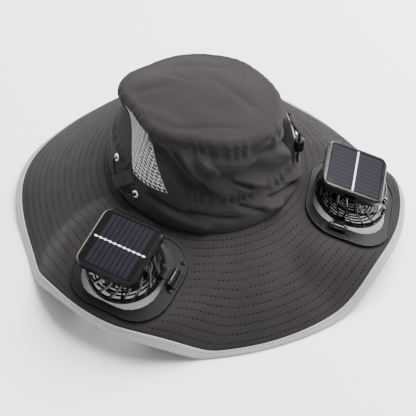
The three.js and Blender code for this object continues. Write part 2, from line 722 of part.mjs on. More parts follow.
// The cap is a sheet like the others, closed at its middle by a fan of faces on each side.
function capGeometry(us, vs) {
  const corners = [];
  const nu = us.length;
  const nv = vs.length;
  for (const side of [0.5, -0.5]) {
    for (const level of vs) {
      for (const azimuth of us) {
        const normal = normalAt(crownPoint, azimuth, level, us, vs);
        const point = crownPoint(azimuth, level).addScaledVector(normal, side * CLOTH);
        corners.push(point.x, point.y, point.z);
      }
    }
    const middle = crownPoint(0, 3);
    corners.push(middle.x, middle.y, middle.z + side * CLOTH);
  }
  const faces = [];
  const at = (side, i, j) => side * (nu * nv + 1) + j * nu + i % nu;
  const quad = (a, b, c, d) => faces.push(a, b, c, a, c, d);
  for (let i = 0; i < nu; i += 1) {
    for (let j = 0; j < nv - 1; j += 1) {
      quad(at(0, i, j), at(0, i + 1, j), at(0, i + 1, j + 1), at(0, i, j + 1));
      quad(at(1, i, j), at(1, i, j + 1), at(1, i + 1, j + 1), at(1, i + 1, j));
    }
    quad(at(1, i, 0), at(1, i + 1, 0), at(0, i + 1, 0), at(0, i, 0));
    faces.push(at(0, i, nv - 1), at(0, i + 1, nv - 1), nu * nv);
    faces.push(at(1, i + 1, nv - 1), at(1, i, nv - 1), nu * nv + 1 + nu * nv);
  }
  return geometryFrom(corners, faces);
}

// Mounting plate on the brim: a flat frame with a raised lip round its edge.
function makePlate(fan, group) {
  const base = CLOTH / 2 + GAP;
  const top = base + PLATE_THICKNESS;
  const outline = (margin, corner) => plateOutline(
    fan.hinge,
    PLATE_IN + margin,
    PLATE_OUT + margin,
    PLATE_FREE_SIDE + margin,
    PLATE_HINGE_SIDE + margin,
    corner + margin,
  );
  let plate = solid(extrude(outline(0, PLATE_CORNER), base, top));
  const lip = solid(extrude(outline(0, PLATE_CORNER), top - 0.5, top + PLATE_LIP));
  const within = solid(extrude(outline(-PLATE_LIP_WIDTH, PLATE_CORNER), top - 1, top + 2 * PLATE_LIP));
  plate = plate.add(lip.subtract(within));
  plate = plate.subtract(solid(extrude(openingOutline(fan.hinge, 0), base - 1, top + 2 * PLATE_LIP)));
  for (const place of rivetPlaces(fan.hinge)) {
    const hole = cylinder(RIVET_SHANK + GAP, base - 1, top + 1, 6);
    hole.translate(place.x, place.y, 0);
    plate = plate.subtract(solid(hole));
  }
  addTo(group, `fan_plate_${fan.name}`, geometryOf(plate), matteBlack);

  rivetPlaces(fan.hinge).forEach((place, k) => {
    const rise = 1.2;
    const low = -CLOTH / 2 - GAP;
    const high = top + GAP;
    const points = [
      [0, low - rise], [RIVET_HEAD, low], [RIVET_SHANK, low],
      [RIVET_SHANK, high], [RIVET_HEAD, high], [0, high + rise],
    ].map(([x, y]) => new THREE.Vector2(x, y));
    const rivet = new THREE.LatheGeometry(points, 6);
    rivet.rotateX(Math.PI / 2);
    rivet.translate(place.x, place.y, 0);
    addTo(group, `rivet_${fan.name}_${k + 1}`, geometryOf(solid(rivet)), matteBlack);
  });
}

// Hinge bracket: a foot on the plate with two lugs and the pin that the cage turns on.
function makeBracket(fan, group) {
  const foot = CLOTH / 2 + GAP + PLATE_THICKNESS + GAP;
  const y = fan.hinge * HINGE_OFFSET;
  const half = KNUCKLE_LENGTH / 2 + GAP;
  const x0 = HINGE_ALONG - half;
  const x1 = HINGE_ALONG + half;
  const axisZ = HINGE_HEIGHT;
  const lug = (from, to) => {
    const block = box(from, to, y - HINGE_BARREL, y + HINGE_BARREL, foot, axisZ);
    const round = cylinder(HINGE_BARREL, from, to, 12);
    round.rotateY(Math.PI / 2);
    round.translate(0, y, axisZ);
    return solid(block).add(solid(round));
  };
  const pin = cylinder(HINGE_PIN, x0 - LUG / 2, x1 + LUG / 2, 12);
  pin.rotateY(Math.PI / 2);
  pin.translate(0, y, axisZ);
  const outerY = y + fan.hinge * 2 * HINGE_BARREL;
  const [yA, yB] = [Math.min(y, outerY), Math.max(y, outerY)];
  let bracket = lug(x0 - LUG, x0).add(lug(x1, x1 + LUG)).add(solid(pin));
  bracket = bracket.add(solid(box(x0 - LUG, x1 + LUG, yA, yB, foot, foot + 1)));
  addTo(group, `hinge_bracket_${fan.name}`, geometryOf(bracket), matteBlack);
}

// Fan cage: a bottom ring and guard, swirling ribs, a lid that carries the motor, and the
// knuckle of its hinge.
function makeCage(fan, group) {
  const inside = CAGE_RADIUS - CAGE_RING;
  const ring = solid(cylinder(CAGE_RADIUS, CAGE_BASE, CAGE_BASE + CAGE_RING, CAGE_FACETS))
    .subtract(solid(cylinder(inside, CAGE_BASE - 1, CAGE_BASE + CAGE_RING + 1, CAGE_FACETS)));
  const lid = solid(cylinder(CAGE_TOP_RADIUS, CAGE_TOP - CAGE_LID, CAGE_TOP));
  const motor = solid(cylinder(MOTOR_RADIUS, CAGE_TOP - CAGE_LID - MOTOR_HEIGHT, CAGE_TOP - CAGE_LID, 16));
  const shaftEnd = CAGE_TOP - CAGE_LID - MOTOR_HEIGHT - GAP - ROTOR_HEIGHT - 1;
  const shaft = solid(cylinder(SHAFT_RADIUS, shaftEnd, CAGE_TOP - CAGE_LID - MOTOR_HEIGHT + 1, 8));
  let cage = ring.add(lid).add(motor).add(shaft);
  const steps = 2;
  for (let k = 0; k < CAGE_RIBS; k += 1) {
    const corners = [];
    for (let j = 0; j <= steps; j += 1) {
      const t = j / steps;
      const turn = (360 * k / CAGE_RIBS + fan.hinge * CAGE_SWIRL * t) * rad;
      const outer = CAGE_TOP_RADIUS + (CAGE_RADIUS - CAGE_TOP_RADIUS) * Math.cos(t * Math.PI / 2) - 0.4;
      const z = CAGE_BASE + 1 + (CAGE_HEIGHT - 2) * t;
      const half = RIB_WIDTH / 2 / outer;
      const inner = outer - RIB_WIDTH;
      for (const [radius, angle] of [[outer, -half], [outer, half], [inner, half], [inner, -half]]) {
        corners.push(radius * Math.cos(turn + angle), radius * Math.sin(turn + angle), z);
      }
    }
    cage = cage.add(solid(geometryFrom(corners, ringFaces(steps + 1, 4, false))));
  }
  const guardSpokes = 4;
  cage = cage.add(solid(cylinder(MOTOR_RADIUS, CAGE_BASE, CAGE_BASE + 1.6, 16)));
  for (let k = 0; k < guardSpokes; k += 1) {
    const spoke = box(MOTOR_RADIUS - 1, CAGE_RADIUS - 1, -0.9, 0.9, CAGE_BASE, CAGE_BASE + 1.6);
    spoke.rotateZ((k + 0.5) * 2 * Math.PI / guardSpokes);
    cage = cage.add(solid(spoke));
  }
  const y = fan.hinge * HINGE_OFFSET;
  const inner = fan.hinge * (CAGE_RADIUS - CAGE_RING);
  const [x0, x1] = [HINGE_ALONG - KNUCKLE_LENGTH / 2, HINGE_ALONG + KNUCKLE_LENGTH / 2];
  const arm = box(x0, x1, Math.min(inner, y), Math.max(inner, y), HINGE_HEIGHT - 2, HINGE_HEIGHT + 1.5);
  const outer = fan.hinge * (CAGE_RADIUS + 1);
  const [near, far] = [Math.min(inner, outer), Math.max(inner, outer)];
  const low = box(x0, x1, near, far, CAGE_BASE + 0.5, HINGE_HEIGHT + 1.5);
  const barrel = cylinder(HINGE_BARREL, x0, x1, 12);
  barrel.rotateY(Math.PI / 2);
  barrel.translate(0, y, HINGE_HEIGHT);
  const bore = cylinder(HINGE_PIN + GAP, x0 - 1, x1 + 1, 12);
  bore.rotateY(Math.PI / 2);
  bore.translate(0, y, HINGE_HEIGHT);
  const opened = solid(cylinder(CAGE_RADIUS - CAGE_RING, CAGE_BASE + 2, CAGE_TOP - CAGE_LID - 1));
  cage = cage.add(join(arm, low).subtract(opened)).add(solid(barrel)).subtract(solid(bore));
  addTo(group, `fan_cage_${fan.name}`, geometryOf(cage), glossBlack);
}

// Rotor: a hub bored for the shaft and twisted blades.
function makeRotor(fan, group) {
  const top = CAGE_TOP - CAGE_LID - MOTOR_HEIGHT - GAP;
  const bottom = top - ROTOR_HEIGHT;
  let rotor = solid(cylinder(ROTOR_HUB, bottom, top, 16));
  for (let k = 0; k < ROTOR_BLADES; k += 1) {
    const corners = [];
    for (const share of [0, 0.5, 1]) {
      const radius = ROTOR_HUB - 1.5 + (ROTOR_RADIUS - ROTOR_HUB + 1.5) * share;
      const chord = 8 + 8 * share;
      const pitch = (42 - 14 * share) * rad * fan.hinge;
      for (const [a, b] of [[-1, -1], [1, -1], [1, 1], [-1, 1]]) {
        const y = a * chord / 2 * Math.cos(pitch) - b * BLADE_THICKNESS / 2 * Math.sin(pitch);
        const z = a * chord / 2 * Math.sin(pitch) + b * BLADE_THICKNESS / 2 * Math.cos(pitch);
        corners.push(radius, y, (top + bottom) / 2 + z);
      }
    }
    const blade = geometryFrom(corners, ringFaces(3, 4, false));
    blade.rotateZ(2 * Math.PI * k / ROTOR_BLADES);
    rotor = rotor.add(solid(blade));
  }
  rotor = rotor.subtract(solid(cylinder(SHAFT_RADIUS + GAP, bottom - 1, top + 1, 8)));
  addTo(group, `fan_rotor_${fan.name}`, geometryOf(rotor), glossBlack);
}

function roundedSquare(side, corner) {
  const h = side / 2;
  const shape = new THREE.Shape();
  shape.moveTo(-h + corner, -h);
  shape.lineTo(h - corner, -h);
  shape.absarc(h - corner, -h + corner, corner, -Math.PI / 2, 0, false);
  shape.lineTo(h, h - corner);
  shape.absarc(h - corner, h - corner, corner, 0, Math.PI / 2, false);
  shape.lineTo(-h + corner, h);
  shape.absarc(-h + corner, h - corner, corner, Math.PI / 2, Math.PI, false);
  shape.lineTo(-h, -h + corner);
  shape.absarc(-h + corner, -h + corner, corner, Math.PI, 1.5 * Math.PI, false);
  return shape;
}

// Panel housing with its bevelled edges, a recess for the cell and a charging port.
function makePanel(fan, group) {
  const base = CAGE_TOP + GAP;
  const bevel = 1.4;
  const geometry = new THREE.ExtrudeGeometry(roundedSquare(PANEL_SIDE - 2 * bevel, PANEL_CORNER - bevel), {
    depth: PANEL_THICKNESS - 2 * bevel,
    bevelEnabled: true,
    bevelThickness: bevel,
    bevelSize: bevel,
    bevelSegments: 1,
    curveSegments: 3,
  });
  const aside = -fan.hinge * PANEL_SHIFT_ASIDE;
  const inward = fan.panelIn * PANEL_SIDE;
  geometry.translate(-inward, aside, base + bevel);
  const cellSide = PANEL_SIDE - 2 * CELL_MARGIN;
  const recessFloor = base + PANEL_THICKNESS - CELL_RECESS;
  const pocket = roundedSquare(cellSide + 2 * GAP, 1 + GAP);
  const recess = extrude(pocket, recessFloor, recessFloor + 2 * CELL_RECESS, 1);
  recess.translate(-inward, aside, 0);
  const face = aside + fan.hinge * PANEL_SIDE / 2;
  const slot = box(
    -inward - PORT_WIDTH / 2,
    -inward + PORT_WIDTH / 2,
    face - PORT_DEPTH,
    face + PORT_DEPTH,
    base + PORT_RISE,
    base + PORT_RISE + PORT_HEIGHT,
  );
  const housing = solid(geometry).subtract(solid(recess)).subtract(solid(slot));
  addTo(group, `panel_housing_${fan.name}`, geometryOf(housing), glossBlack);
  const cellBase = recessFloor + GAP;
  const cell = extrude(roundedSquare(cellSide, 1), cellBase, cellBase + CELL_THICKNESS, 1);
  cell.translate(-inward, aside, 0);
  addTo(group, `solar_cell_${fan.name}`, geometryOf(solid(cell)), silicon);
}

// Place on the band's outer face, at a share of its height and a distance off the cloth.
function onBand(azimuth, level, off) {
  const normal = normalAt(crownPoint, azimuth, level, [0, 10], [0, 1, 2]);
  const out = new THREE.Vector3(Math.sin(azimuth * rad), -Math.cos(azimuth * rad), 0);
  if (normal.dot(out) < 0) normal.negate();
  return { point: crownPoint(azimuth, level).addScaledVector(normal, CLOTH / 2 + off), normal };
}

function tube(points, diameter) {
  const curve = new THREE.CatmullRomCurve3(points, false, 'centripetal');
  const sides = 8;
  const section = new THREE.Shape(range(0, 2 * Math.PI * (1 - 1 / sides), sides)
    .map((a) => new THREE.Vector2(diameter / 2 * Math.cos(a), diameter / 2 * Math.sin(a))));
  const steps = Math.round(curve.getLength() / (2 * diameter));
  return new THREE.ExtrudeGeometry(section, { steps, extrudePath: curve, bevelEnabled: false });
}

function makeBandTrim(name, side) {
  const turned = (azimuth) => side * azimuth + CROWN_TURN;
  [UPPER_EYELET, LOWER_EYELET].forEach((eyelet, k) => {
    const { point, normal } = onBand(turned(eyelet.azimuth), eyelet.height, GAP);
    const bevel = EYELET_RISE / 2;
    const points = [
      [EYELET_HOLE, 0],
      [EYELET_RADIUS, 0],
      [EYELET_RADIUS - bevel, EYELET_RISE],
      [EYELET_HOLE + bevel, EYELET_RISE],
      [EYELET_HOLE, 0],
    ];
    const ring = new THREE.LatheGeometry(points.map(([x, y]) => new THREE.Vector2(x, y)), 12);
    ring.rotateX(Math.PI / 2);
    const mesh = addTo(hat, `eyelet_${name}_${k + 1}`, geometryOf(solid(ring)), steel);
    mesh.position.copy(point);
    mesh.quaternion.setFromUnitVectors(new THREE.Vector3(0, 0, 1), normal);
  });
  const off = CORD_DIAMETER / 2 + GAP;
  const clear = off + 2 * EYELET_RISE;
  const route = CORD_ROUTE.map((place) => onBand(turned(place.azimuth), place.height, clear).point);
  for (const height of [clear, GAP]) {
    route.push(onBand(turned(LOWER_EYELET.azimuth), LOWER_EYELET.height, height).point);
    route.unshift(onBand(turned(UPPER_EYELET.azimuth), UPPER_EYELET.height, height).point);
  }
  addTo(hat, `draw_cord_${name}`, tube(route, CORD_DIAMETER), cordBlack);

  const count = 9;
  const corners = [];
  const at = (share) => {
    const lift = LOOP_SEAT + LOOP_LIFT * Math.sin(share * Math.PI) ** 0.5;
    const azimuth = LOOP_TOP.azimuth + (LOOP_FOOT.azimuth - LOOP_TOP.azimuth) * share;
    const height = LOOP_TOP.height + (LOOP_FOOT.height - LOOP_TOP.height) * share;
    return onBand(turned(azimuth), height, lift);
  };
  for (const share of range(0, 1, count)) {
    const { point, normal } = at(share);
    const run = at(Math.min(1, share + 0.05)).point.sub(at(Math.max(0, share - 0.05)).point).normalize();
    const across = run.clone().cross(normal).normalize();
    for (const [w, t] of [[-0.5, 0], [0.5, 0], [0.5, 1], [-0.5, 1]]) {
      const corner = point.clone().addScaledVector(across, w * LOOP_WIDTH);
      corner.addScaledVector(normal, t * LOOP_CLOTH);
      corners.push(corner.x, corner.y, corner.z);
    }
  }
  addTo(hat, `strap_loop_${name}`, geometryFrom(corners, ringFaces(count, 4, false)), loopCloth);
}

// Cord lock: a barrel on the end of the band's own draw cord.
function makeCordLock() {
  const { point } = onBand(LOCK.azimuth, LOCK.height, LOCK_RADIUS + LOCK_BEVEL + GAP);
  const bore = CORD_DIAMETER / 2 + GAP;
  const half = LOCK_LENGTH / 2;
  const points = [
    [bore, -half],
    [LOCK_RADIUS - LOCK_BEVEL, -half],
    [LOCK_RADIUS, -half + LOCK_BEVEL],
    [LOCK_RADIUS, half - LOCK_BEVEL],
    [LOCK_RADIUS - LOCK_BEVEL, half],
    [bore, half],
    [bore, -half],
  ];
  const barrel = new THREE.LatheGeometry(points.map(([x, y]) => new THREE.Vector2(x, y)), 12);
  barrel.rotateX(Math.PI / 2);
  barrel.translate(point.x, point.y, point.z);
  addTo(hat, 'cord_lock', geometryOf(solid(barrel)), glossBlack);
  const off = CORD_DIAMETER / 2 + GAP;
  const route = LOCK_CORD.map((place) => onBand(place.azimuth, place.height, off).point);
  const end = half + CORD_DIAMETER;
  for (const z of [-end, -half / 2, half / 2, end, end + 2 * CORD_DIAMETER]) {
    route.push(point.clone().add(new THREE.Vector3(0, 0, z)));
  }
  addTo(hat, 'draw_cord_end', tube(route, CORD_DIAMETER), cordBlack);
}

makeBrim();
makeBinding();
makeCrown();
FANS.forEach((fan, k) => {
  const group = new THREE.Group();
  FAN_FRAMES[k].decompose(group.position, group.quaternion, group.scale);
  hat.add(group);
  makePlate(fan, group);
  makeBracket(fan, group);
  makeCage(fan, group);
  makeRotor(fan, group);
  makePanel(fan, group);
});

makeBandTrim('left', -1);
makeBandTrim('right', 1);
makeCordLock();

// The origin lies under the middle of the hat's outline, on the surface that it rests on.
const extent = new THREE.Box3().setFromObject(hat, true);
const middle = extent.getCenter(new THREE.Vector3());
hat.position.set(-middle.x, -middle.y, -extent.min.z);

export default hat;
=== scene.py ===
import json
import math
import bmesh
import bpy
import numpy as np
from mathutils import Matrix, Vector


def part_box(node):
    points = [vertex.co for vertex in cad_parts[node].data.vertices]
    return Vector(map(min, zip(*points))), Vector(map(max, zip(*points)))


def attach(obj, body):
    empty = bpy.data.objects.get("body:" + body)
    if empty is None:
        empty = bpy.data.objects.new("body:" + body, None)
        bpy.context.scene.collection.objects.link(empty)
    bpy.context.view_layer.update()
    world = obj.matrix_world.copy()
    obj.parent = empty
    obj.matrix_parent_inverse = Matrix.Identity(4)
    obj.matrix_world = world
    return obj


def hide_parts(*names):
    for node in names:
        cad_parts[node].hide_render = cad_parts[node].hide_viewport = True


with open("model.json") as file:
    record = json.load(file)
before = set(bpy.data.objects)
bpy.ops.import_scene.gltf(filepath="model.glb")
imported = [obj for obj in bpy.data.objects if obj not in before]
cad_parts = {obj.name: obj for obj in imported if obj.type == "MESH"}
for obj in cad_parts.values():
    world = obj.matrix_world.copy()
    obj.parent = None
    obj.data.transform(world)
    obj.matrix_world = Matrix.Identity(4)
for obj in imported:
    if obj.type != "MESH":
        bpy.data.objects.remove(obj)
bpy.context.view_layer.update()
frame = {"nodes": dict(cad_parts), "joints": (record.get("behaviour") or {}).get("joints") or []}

# Camera: a low three-quarter view from the front left, looking down on the hat, with the
# middle of the head opening above the middle of the frame. Lengths are in millimetres here.
MM = 0.001
SEAM_CENTRE = np.array([0.52, -1.3, 65.73])
VIEW_AZIMUTH = math.radians(-22)
VIEW_ELEVATION = math.radians(44)
VIEW_DISTANCE = 870
AIM_RIGHT = 3.15
AIM_DOWN = 48.4
LENS = 76.4

sin_a, cos_a = math.sin(VIEW_AZIMUTH), math.cos(VIEW_AZIMUTH)
sin_e, cos_e = math.sin(VIEW_ELEVATION), math.cos(VIEW_ELEVATION)
view_back = Vector((sin_a * cos_e, -cos_a * cos_e, sin_e))
view_right = Vector((cos_a, sin_a, 0))
view_up = Vector((-sin_a * sin_e, cos_a * sin_e, cos_e))
target = Vector(SEAM_CENTRE)
aim = target + AIM_RIGHT * view_right - AIM_DOWN * view_up
eye = target + VIEW_DISTANCE * view_back
camera = bpy.data.objects.new("camera", bpy.data.cameras.new("camera"))
camera.data.lens = LENS
camera.data.clip_end = 20
camera.location = eye * MM
camera.rotation_euler = (aim - eye).to_track_quat("-Z", "Y").to_euler()
bpy.context.scene.collection.objects.link(camera)
bpy.context.scene.camera = camera


# Studio: a wide pale floor, one large soft light above the hat and a little to its right,
# weaker ones behind it and at its right, and an even pale surround.
def new_object(name, mesh):
    piece = bpy.data.objects.new(name, mesh)
    bpy.context.scene.collection.objects.link(piece)
    return piece


def plain_material(name, colour, roughness):
    material = bpy.data.materials.new(name)
    material.use_nodes = True
    shader = material.node_tree.nodes["Principled BSDF"]
    shader.inputs["Base Color"].default_value = (*colour, 1)
    shader.inputs["Roughness"].default_value = roughness
    return material


floor_mesh = bpy.data.meshes.new("floor")
floor_mesh.from_pydata([(-4, -4, 0), (4, -4, 0), (4, 4, 0), (-4, 4, 0)], [], [(0, 1, 2, 3)])
floor = new_object("floor", floor_mesh)
floor_mesh.materials.append(plain_material("floor_paint", (0.86, 0.86, 0.86), 0.9))

for name, place, size, power in (
    ("light_above", (0.75, 0.2, 1.7), 1.7, 175),
    ("light_behind", (-0.3, 1.6, 1.1), 1.0, 8),
    ("light_side", (1.5, -0.4, 0.9), 0.8, 6),
):
    lamp = bpy.data.lights.new(name, "AREA")
    lamp.size = size
    lamp.energy = power
    light = bpy.data.objects.new(name, lamp)
    light.location = place
    light.rotation_euler = (Vector((0, 0, 0.05)) - Vector(place)).to_track_quat("-Z", "Y").to_euler()
    bpy.context.scene.collection.objects.link(light)

world = bpy.data.worlds.new("surround")
world.use_nodes = True
world.node_tree.nodes["Background"].inputs["Color"].default_value = (0.97, 0.97, 1, 1)
world.node_tree.nodes["Background"].inputs["Strength"].default_value = 0.6
bpy.context.scene.world = world

# Brim: a ring of two cloths quilted together in rows, about 116 mm wide, that lies nearly
# flat under the two fan plates and falls to the table elsewhere. It is cut through under
# each fan. Its sections give the slopes in degrees at the seam, at the knee and at the edge.
HEAD_HALF_WIDTH = 91
HEAD_HALF_LENGTH = 99
SEAM_HEIGHT = 66
BRIM_WIDTH = 116
BRIM_KNEE = 0.8
BRIM_TURNED_IN = 3
CLOTH = 1.6
BINDING_WIDTH = 8
BINDING_HALF = 1.95
PLATE_IN, PLATE_OUT, PLATE_FREE_SIDE, PLATE_HINGE_SIDE, PLATE_CORNER = 42, 44, 46, 53, 31
BORDER_IN, BORDER_OUT, BORDER_FREE, BORDER_HINGE, INNER_CORNER = 5.5, 7, 8, 14, 27
FLAT_BORDER, BLEND_DOWN, BLEND_ACROSS = 8, 18, 44
QUILT_START = 7.3
QUILT_PITCH = 7.9
QUILT_ROWS = 13
QUILT_DEPTH = 0.32
GROOVE_HALF = 0.9
RIPPLE_HEIGHT = 0.14
STITCH_PITCH = 4.2
BRIM_COLOUR = (0.0200, 0.0177, 0.0173)

BRIM_SECTIONS = [
    {"azimuth": -180, "start": 12, "knee": 50, "end": 60},
    {"azimuth": -150, "start": 18, "knee": 42, "end": 48},
    {"azimuth": -120, "start": 26, "knee": 28, "end": 30},
    {"azimuth": -90, "start": 26, "knee": 38, "end": 46},
    {"azimuth": -60, "start": 17, "knee": 17, "end": 70},
    {"azimuth": -30, "start": 11, "knee": 48, "end": 66},
    {"azimuth": 0, "start": 8, "knee": 55, "end": 67},
    {"azimuth": 30, "start": 17, "knee": 38, "end": 45},
    {"azimuth": 60, "start": 18, "knee": 19, "end": 56},
    {"azimuth": 90, "start": 12, "knee": 46, "end": 66},
    {"azimuth": 120, "start": 20, "knee": 47, "end": 54},
    {"azimuth": 150, "start": 17, "knee": 40, "end": 46},
]

# Where the brim is cut wider: azimuth, spread in degrees, how much more.
BRIM_CUTS = [(-36, 12, 6)]

# Each fan's frame comes from its hinge and its rotor's joint: x down the slope, z off the cloth.
joints = {joint["name"]: joint for joint in frame["joints"]}
ROTOR_HEIGHT_IN_FRAME = 12
fans = {}
for name, hinge in (("left", 1), ("right", -1)):
    x = -hinge * np.array(joints[f"fan_{name}_tilt"]["axis"])
    z = np.array(joints[f"rotor_{name}_spin"]["axis"])
    origin = np.array(joints[f"rotor_{name}_spin"]["pos_m"]) / MM - ROTOR_HEIGHT_IN_FRAME * z
    fans[name] = {"hinge": hinge, "x": x, "y": np.cross(z, x), "z": z, "origin": origin}


def column(table, name, azimuth):
    """Value of a named column at azimuths in degrees, on a smooth closed curve through the rows."""
    step = 360 / len(table)
    place = ((azimuth - table[0]["azimuth"]) % 360) / step
    row = np.floor(place).astype(int)
    t = place - row
    values = np.array([line[name] for line in table], float)
    a, b, c, d = (values[(row + k) % len(table)] for k in (-1, 0, 1, 2))
    return b + 0.5 * t * (c - a + t * (2 * a - 5 * b + 4 * c - d + t * (3 * (b - c) + d - a)))


def smooth(x):
    """Eased step: a cubic that leaves 0 and meets 1 level."""
    t = np.clip(x, 0, 1)
    return t * t * (3 - 2 * t)


def outward(azimuth):
    """Level direction at azimuths in degrees from the front, towards +X."""
    angle = np.radians(azimuth)
    return np.stack([np.sin(angle), -np.cos(angle), np.zeros_like(angle)], -1)


def head_radius(azimuth):
    """Radius of the head opening's ellipse at azimuths in degrees."""
    angle = np.radians(azimuth)
    return 1 / np.hypot(np.sin(angle) / HEAD_HALF_WIDTH, np.cos(angle) / HEAD_HALF_LENGTH)


def in_fan(fan, points):
    """Points in a fan's own frame."""
    offset = points - fan["origin"]
    return offset @ fan["x"], offset @ fan["y"], offset @ fan["z"]


def rounded_distance(x, y, hinge, inner, outer, free, far, corner):
    """Signed distance from the rounded outline of a plate or opening, and the way out of it."""
    middle_x, middle_y = (outer - inner) / 2, hinge * (far - free) / 2
    qx = np.abs(x - middle_x) - (inner + outer) / 2 + corner
    qy = np.abs(y - middle_y) - (free + far) / 2 + corner
    ox, oy = np.maximum(qx, 0), np.maximum(qy, 0)
    length = np.hypot(ox, oy)
    distance = length + np.minimum(np.maximum(qx, qy), 0) - corner
    wayx = np.where(length > 0, ox / np.maximum(length, 1e-9), (qx > qy) * 1.0) * np.sign(x - middle_x)
    wayy = np.where(length > 0, oy / np.maximum(length, 1e-9), (qx <= qy) * 1.0) * np.sign(y - middle_y)
    return distance, wayx, wayy, ox, oy


def plate_distance(x, y, hinge):
    """Distance from the outline of a fan's mounting plate, as rounded_distance gives it."""
    return rounded_distance(x, y, hinge, PLATE_IN, PLATE_OUT, PLATE_FREE_SIDE, PLATE_HINGE_SIDE, PLATE_CORNER)


def stretch(slope, growth, length):
    """Reach and drop of cloth whose slope grows evenly: integrals of its cosine and sine."""
    growth = np.where(np.abs(growth) < 1e-6, 1e-6, growth)
    last = slope + growth * length
    return (np.sin(last) - np.sin(slope)) / growth, (np.cos(slope) - np.cos(last)) / growth


def open_brim(azimuth, along):
    """Brim's middle surface: seam ellipse plus the reach of the cloth outward, less its drop,
    drawn towards each plate's plane near the plate, between the table and the seam."""
    start, knee, end = (np.radians(column(BRIM_SECTIONS, name, azimuth)) for name in ("start", "knee", "end"))
    knee_at = BRIM_KNEE * BRIM_WIDTH
    reach_a, drop_a = stretch(start, (knee - start) / knee_at, np.clip(along, 0, knee_at))
    reach_b, drop_b = stretch(knee, (end - knee) / (BRIM_WIDTH - knee_at), np.maximum(along - knee_at, 0))
    share = 1.0
    for cut_azimuth, spread, more in BRIM_CUTS:
        turn = (azimuth - cut_azimuth + 540) % 360 - 180
        share = share + more / BRIM_WIDTH * np.exp(-((turn / spread) ** 2))
    radius = head_radius(azimuth) + share * (reach_a + reach_b) + np.minimum(along, 0)
    points = SEAM_CENTRE * (1, 1, 0) + outward(azimuth) * radius[..., None]
    points[..., 2] = SEAM_HEIGHT - share * (drop_a + drop_b)
    low = SEAM_CENTRE[2] - SEAM_HEIGHT
    for fan in fans.values():
        x, y, _ = in_fan(fan, points + (0, 0, low))
        _, _, _, ox, oy = plate_distance(x, y, fan["hinge"])
        fade = (BLEND_DOWN * ox + BLEND_ACROSS * oy) / np.maximum(ox + oy, 1)
        held = 1 - smooth((np.hypot(ox, oy) - PLATE_CORNER - FLAT_BORDER) / np.maximum(fade, 0.01))
        held = held * smooth(along / BRIM_TURNED_IN)
        dx, dy = points[..., 0] - fan["origin"][0], points[..., 1] - fan["origin"][1]
        plane = fan["origin"][2] - low - (dx * fan["z"][0] + dy * fan["z"][1]) / fan["z"][2]
        points[..., 2] += (plane - points[..., 2]) * held
    points[..., 2] = np.clip(points[..., 2], BINDING_HALF, SEAM_HEIGHT) + low
    return points


def brim(azimuth, along):
    """Open brim surface, but straight across the width of the tape at its edge."""
    tape = BRIM_WIDTH - BINDING_WIDTH
    share = np.clip((along - tape) / BINDING_WIDTH, 0, 1)[..., None]
    inner = open_brim(azimuth, np.minimum(along, tape))
    edge = open_brim(azimuth, np.full_like(along, BRIM_WIDTH))
    return inner * (1 - share) + edge * share


def normals(points, wrap):
    """Unit normals of a grid of points, from the differences between its neighbours."""
    across = np.roll(points, -1, 0) - np.roll(points, 1, 0) if wrap else np.gradient(points, axis=0)
    up = np.gradient(points, axis=1)
    cross = np.cross(across, up)
    return cross / np.maximum(np.linalg.norm(cross, axis=-1, keepdims=True), 1e-9)


def grid_mesh(name, points, wrap, keep=None, uv=None):
    """Mesh of a grid of points in mm, closed round its first direction if wrap is set, with
    the faces left out where keep is false and a UV map given in metres."""
    nu, nv = points.shape[:2]
    i, j = np.meshgrid(np.arange(nu if wrap else nu - 1), np.arange(nv - 1), indexing="ij")
    following = (i + 1) % nu
    corners = np.stack([i * nv + j, following * nv + j, following * nv + j + 1, i * nv + j + 1], -1)
    uvs = None
    if uv is not None:
        wide = np.concatenate([uv, uv[:1] + (uv[-1:] - uv[-2:-1]) + (uv[-1:] - uv[:1])], 0) if wrap else uv
        uvs = np.stack([wide[i, j], wide[i + 1, j], wide[i + 1, j + 1], wide[i, j + 1]], 2)
    if keep is not None:
        corners = corners[keep]
        uvs = uvs[keep] if uvs is not None else None
    faces = corners.reshape(-1, 4)
    used, faces = np.unique(faces, return_inverse=True)
    faces = faces.reshape(-1, 4)
    mesh = bpy.data.meshes.new(name)
    mesh.from_pydata((points.reshape(-1, 3)[used] * MM).tolist(), [], faces.tolist())
    if uvs is not None:
        layer = mesh.uv_layers.new(name="cloth")
        layer.data.foreach_set("uv", uvs.reshape(-1).astype(np.float32))
    mesh.shade_smooth()
    return mesh


def sewn(name, mesh, wall, material, slot, *nodes):
    """A piece of cloth: its middle surface given a wall, riding on the hat."""
    piece = new_object(name, mesh)
    mesh.materials.append(material)
    solidify = piece.modifiers.new("wall", "SOLIDIFY")
    solidify.thickness = wall * MM
    solidify.offset = 0
    solidify.use_even_offset = False
    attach(piece, "root")
    if nodes:
        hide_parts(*nodes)
    return piece


def node_group(name, inputs, outputs):
    """An empty shader node group with named sockets, and its two end nodes."""
    group = bpy.data.node_groups.new(name, "ShaderNodeTree")
    for label, kind, value in inputs:
        socket = group.interface.new_socket(label, in_out="INPUT", socket_type=kind)
        if value is not None:
            socket.default_value = value
    for label, kind in outputs:
        group.interface.new_socket(label, in_out="OUTPUT", socket_type=kind)
    return group, group.nodes.new("NodeGroupInput"), group.nodes.new("NodeGroupOutput")


def math_node(nodes, links, operation, *values):
    """A math node fed with numbers or sockets."""
    node = nodes.new("ShaderNodeMath")
    node.operation = operation
    for socket, value in zip(node.inputs, values):
        if isinstance(value, (int, float)):
            socket.default_value = value
        else:
            links.new(value, socket)
    return node.outputs[0]


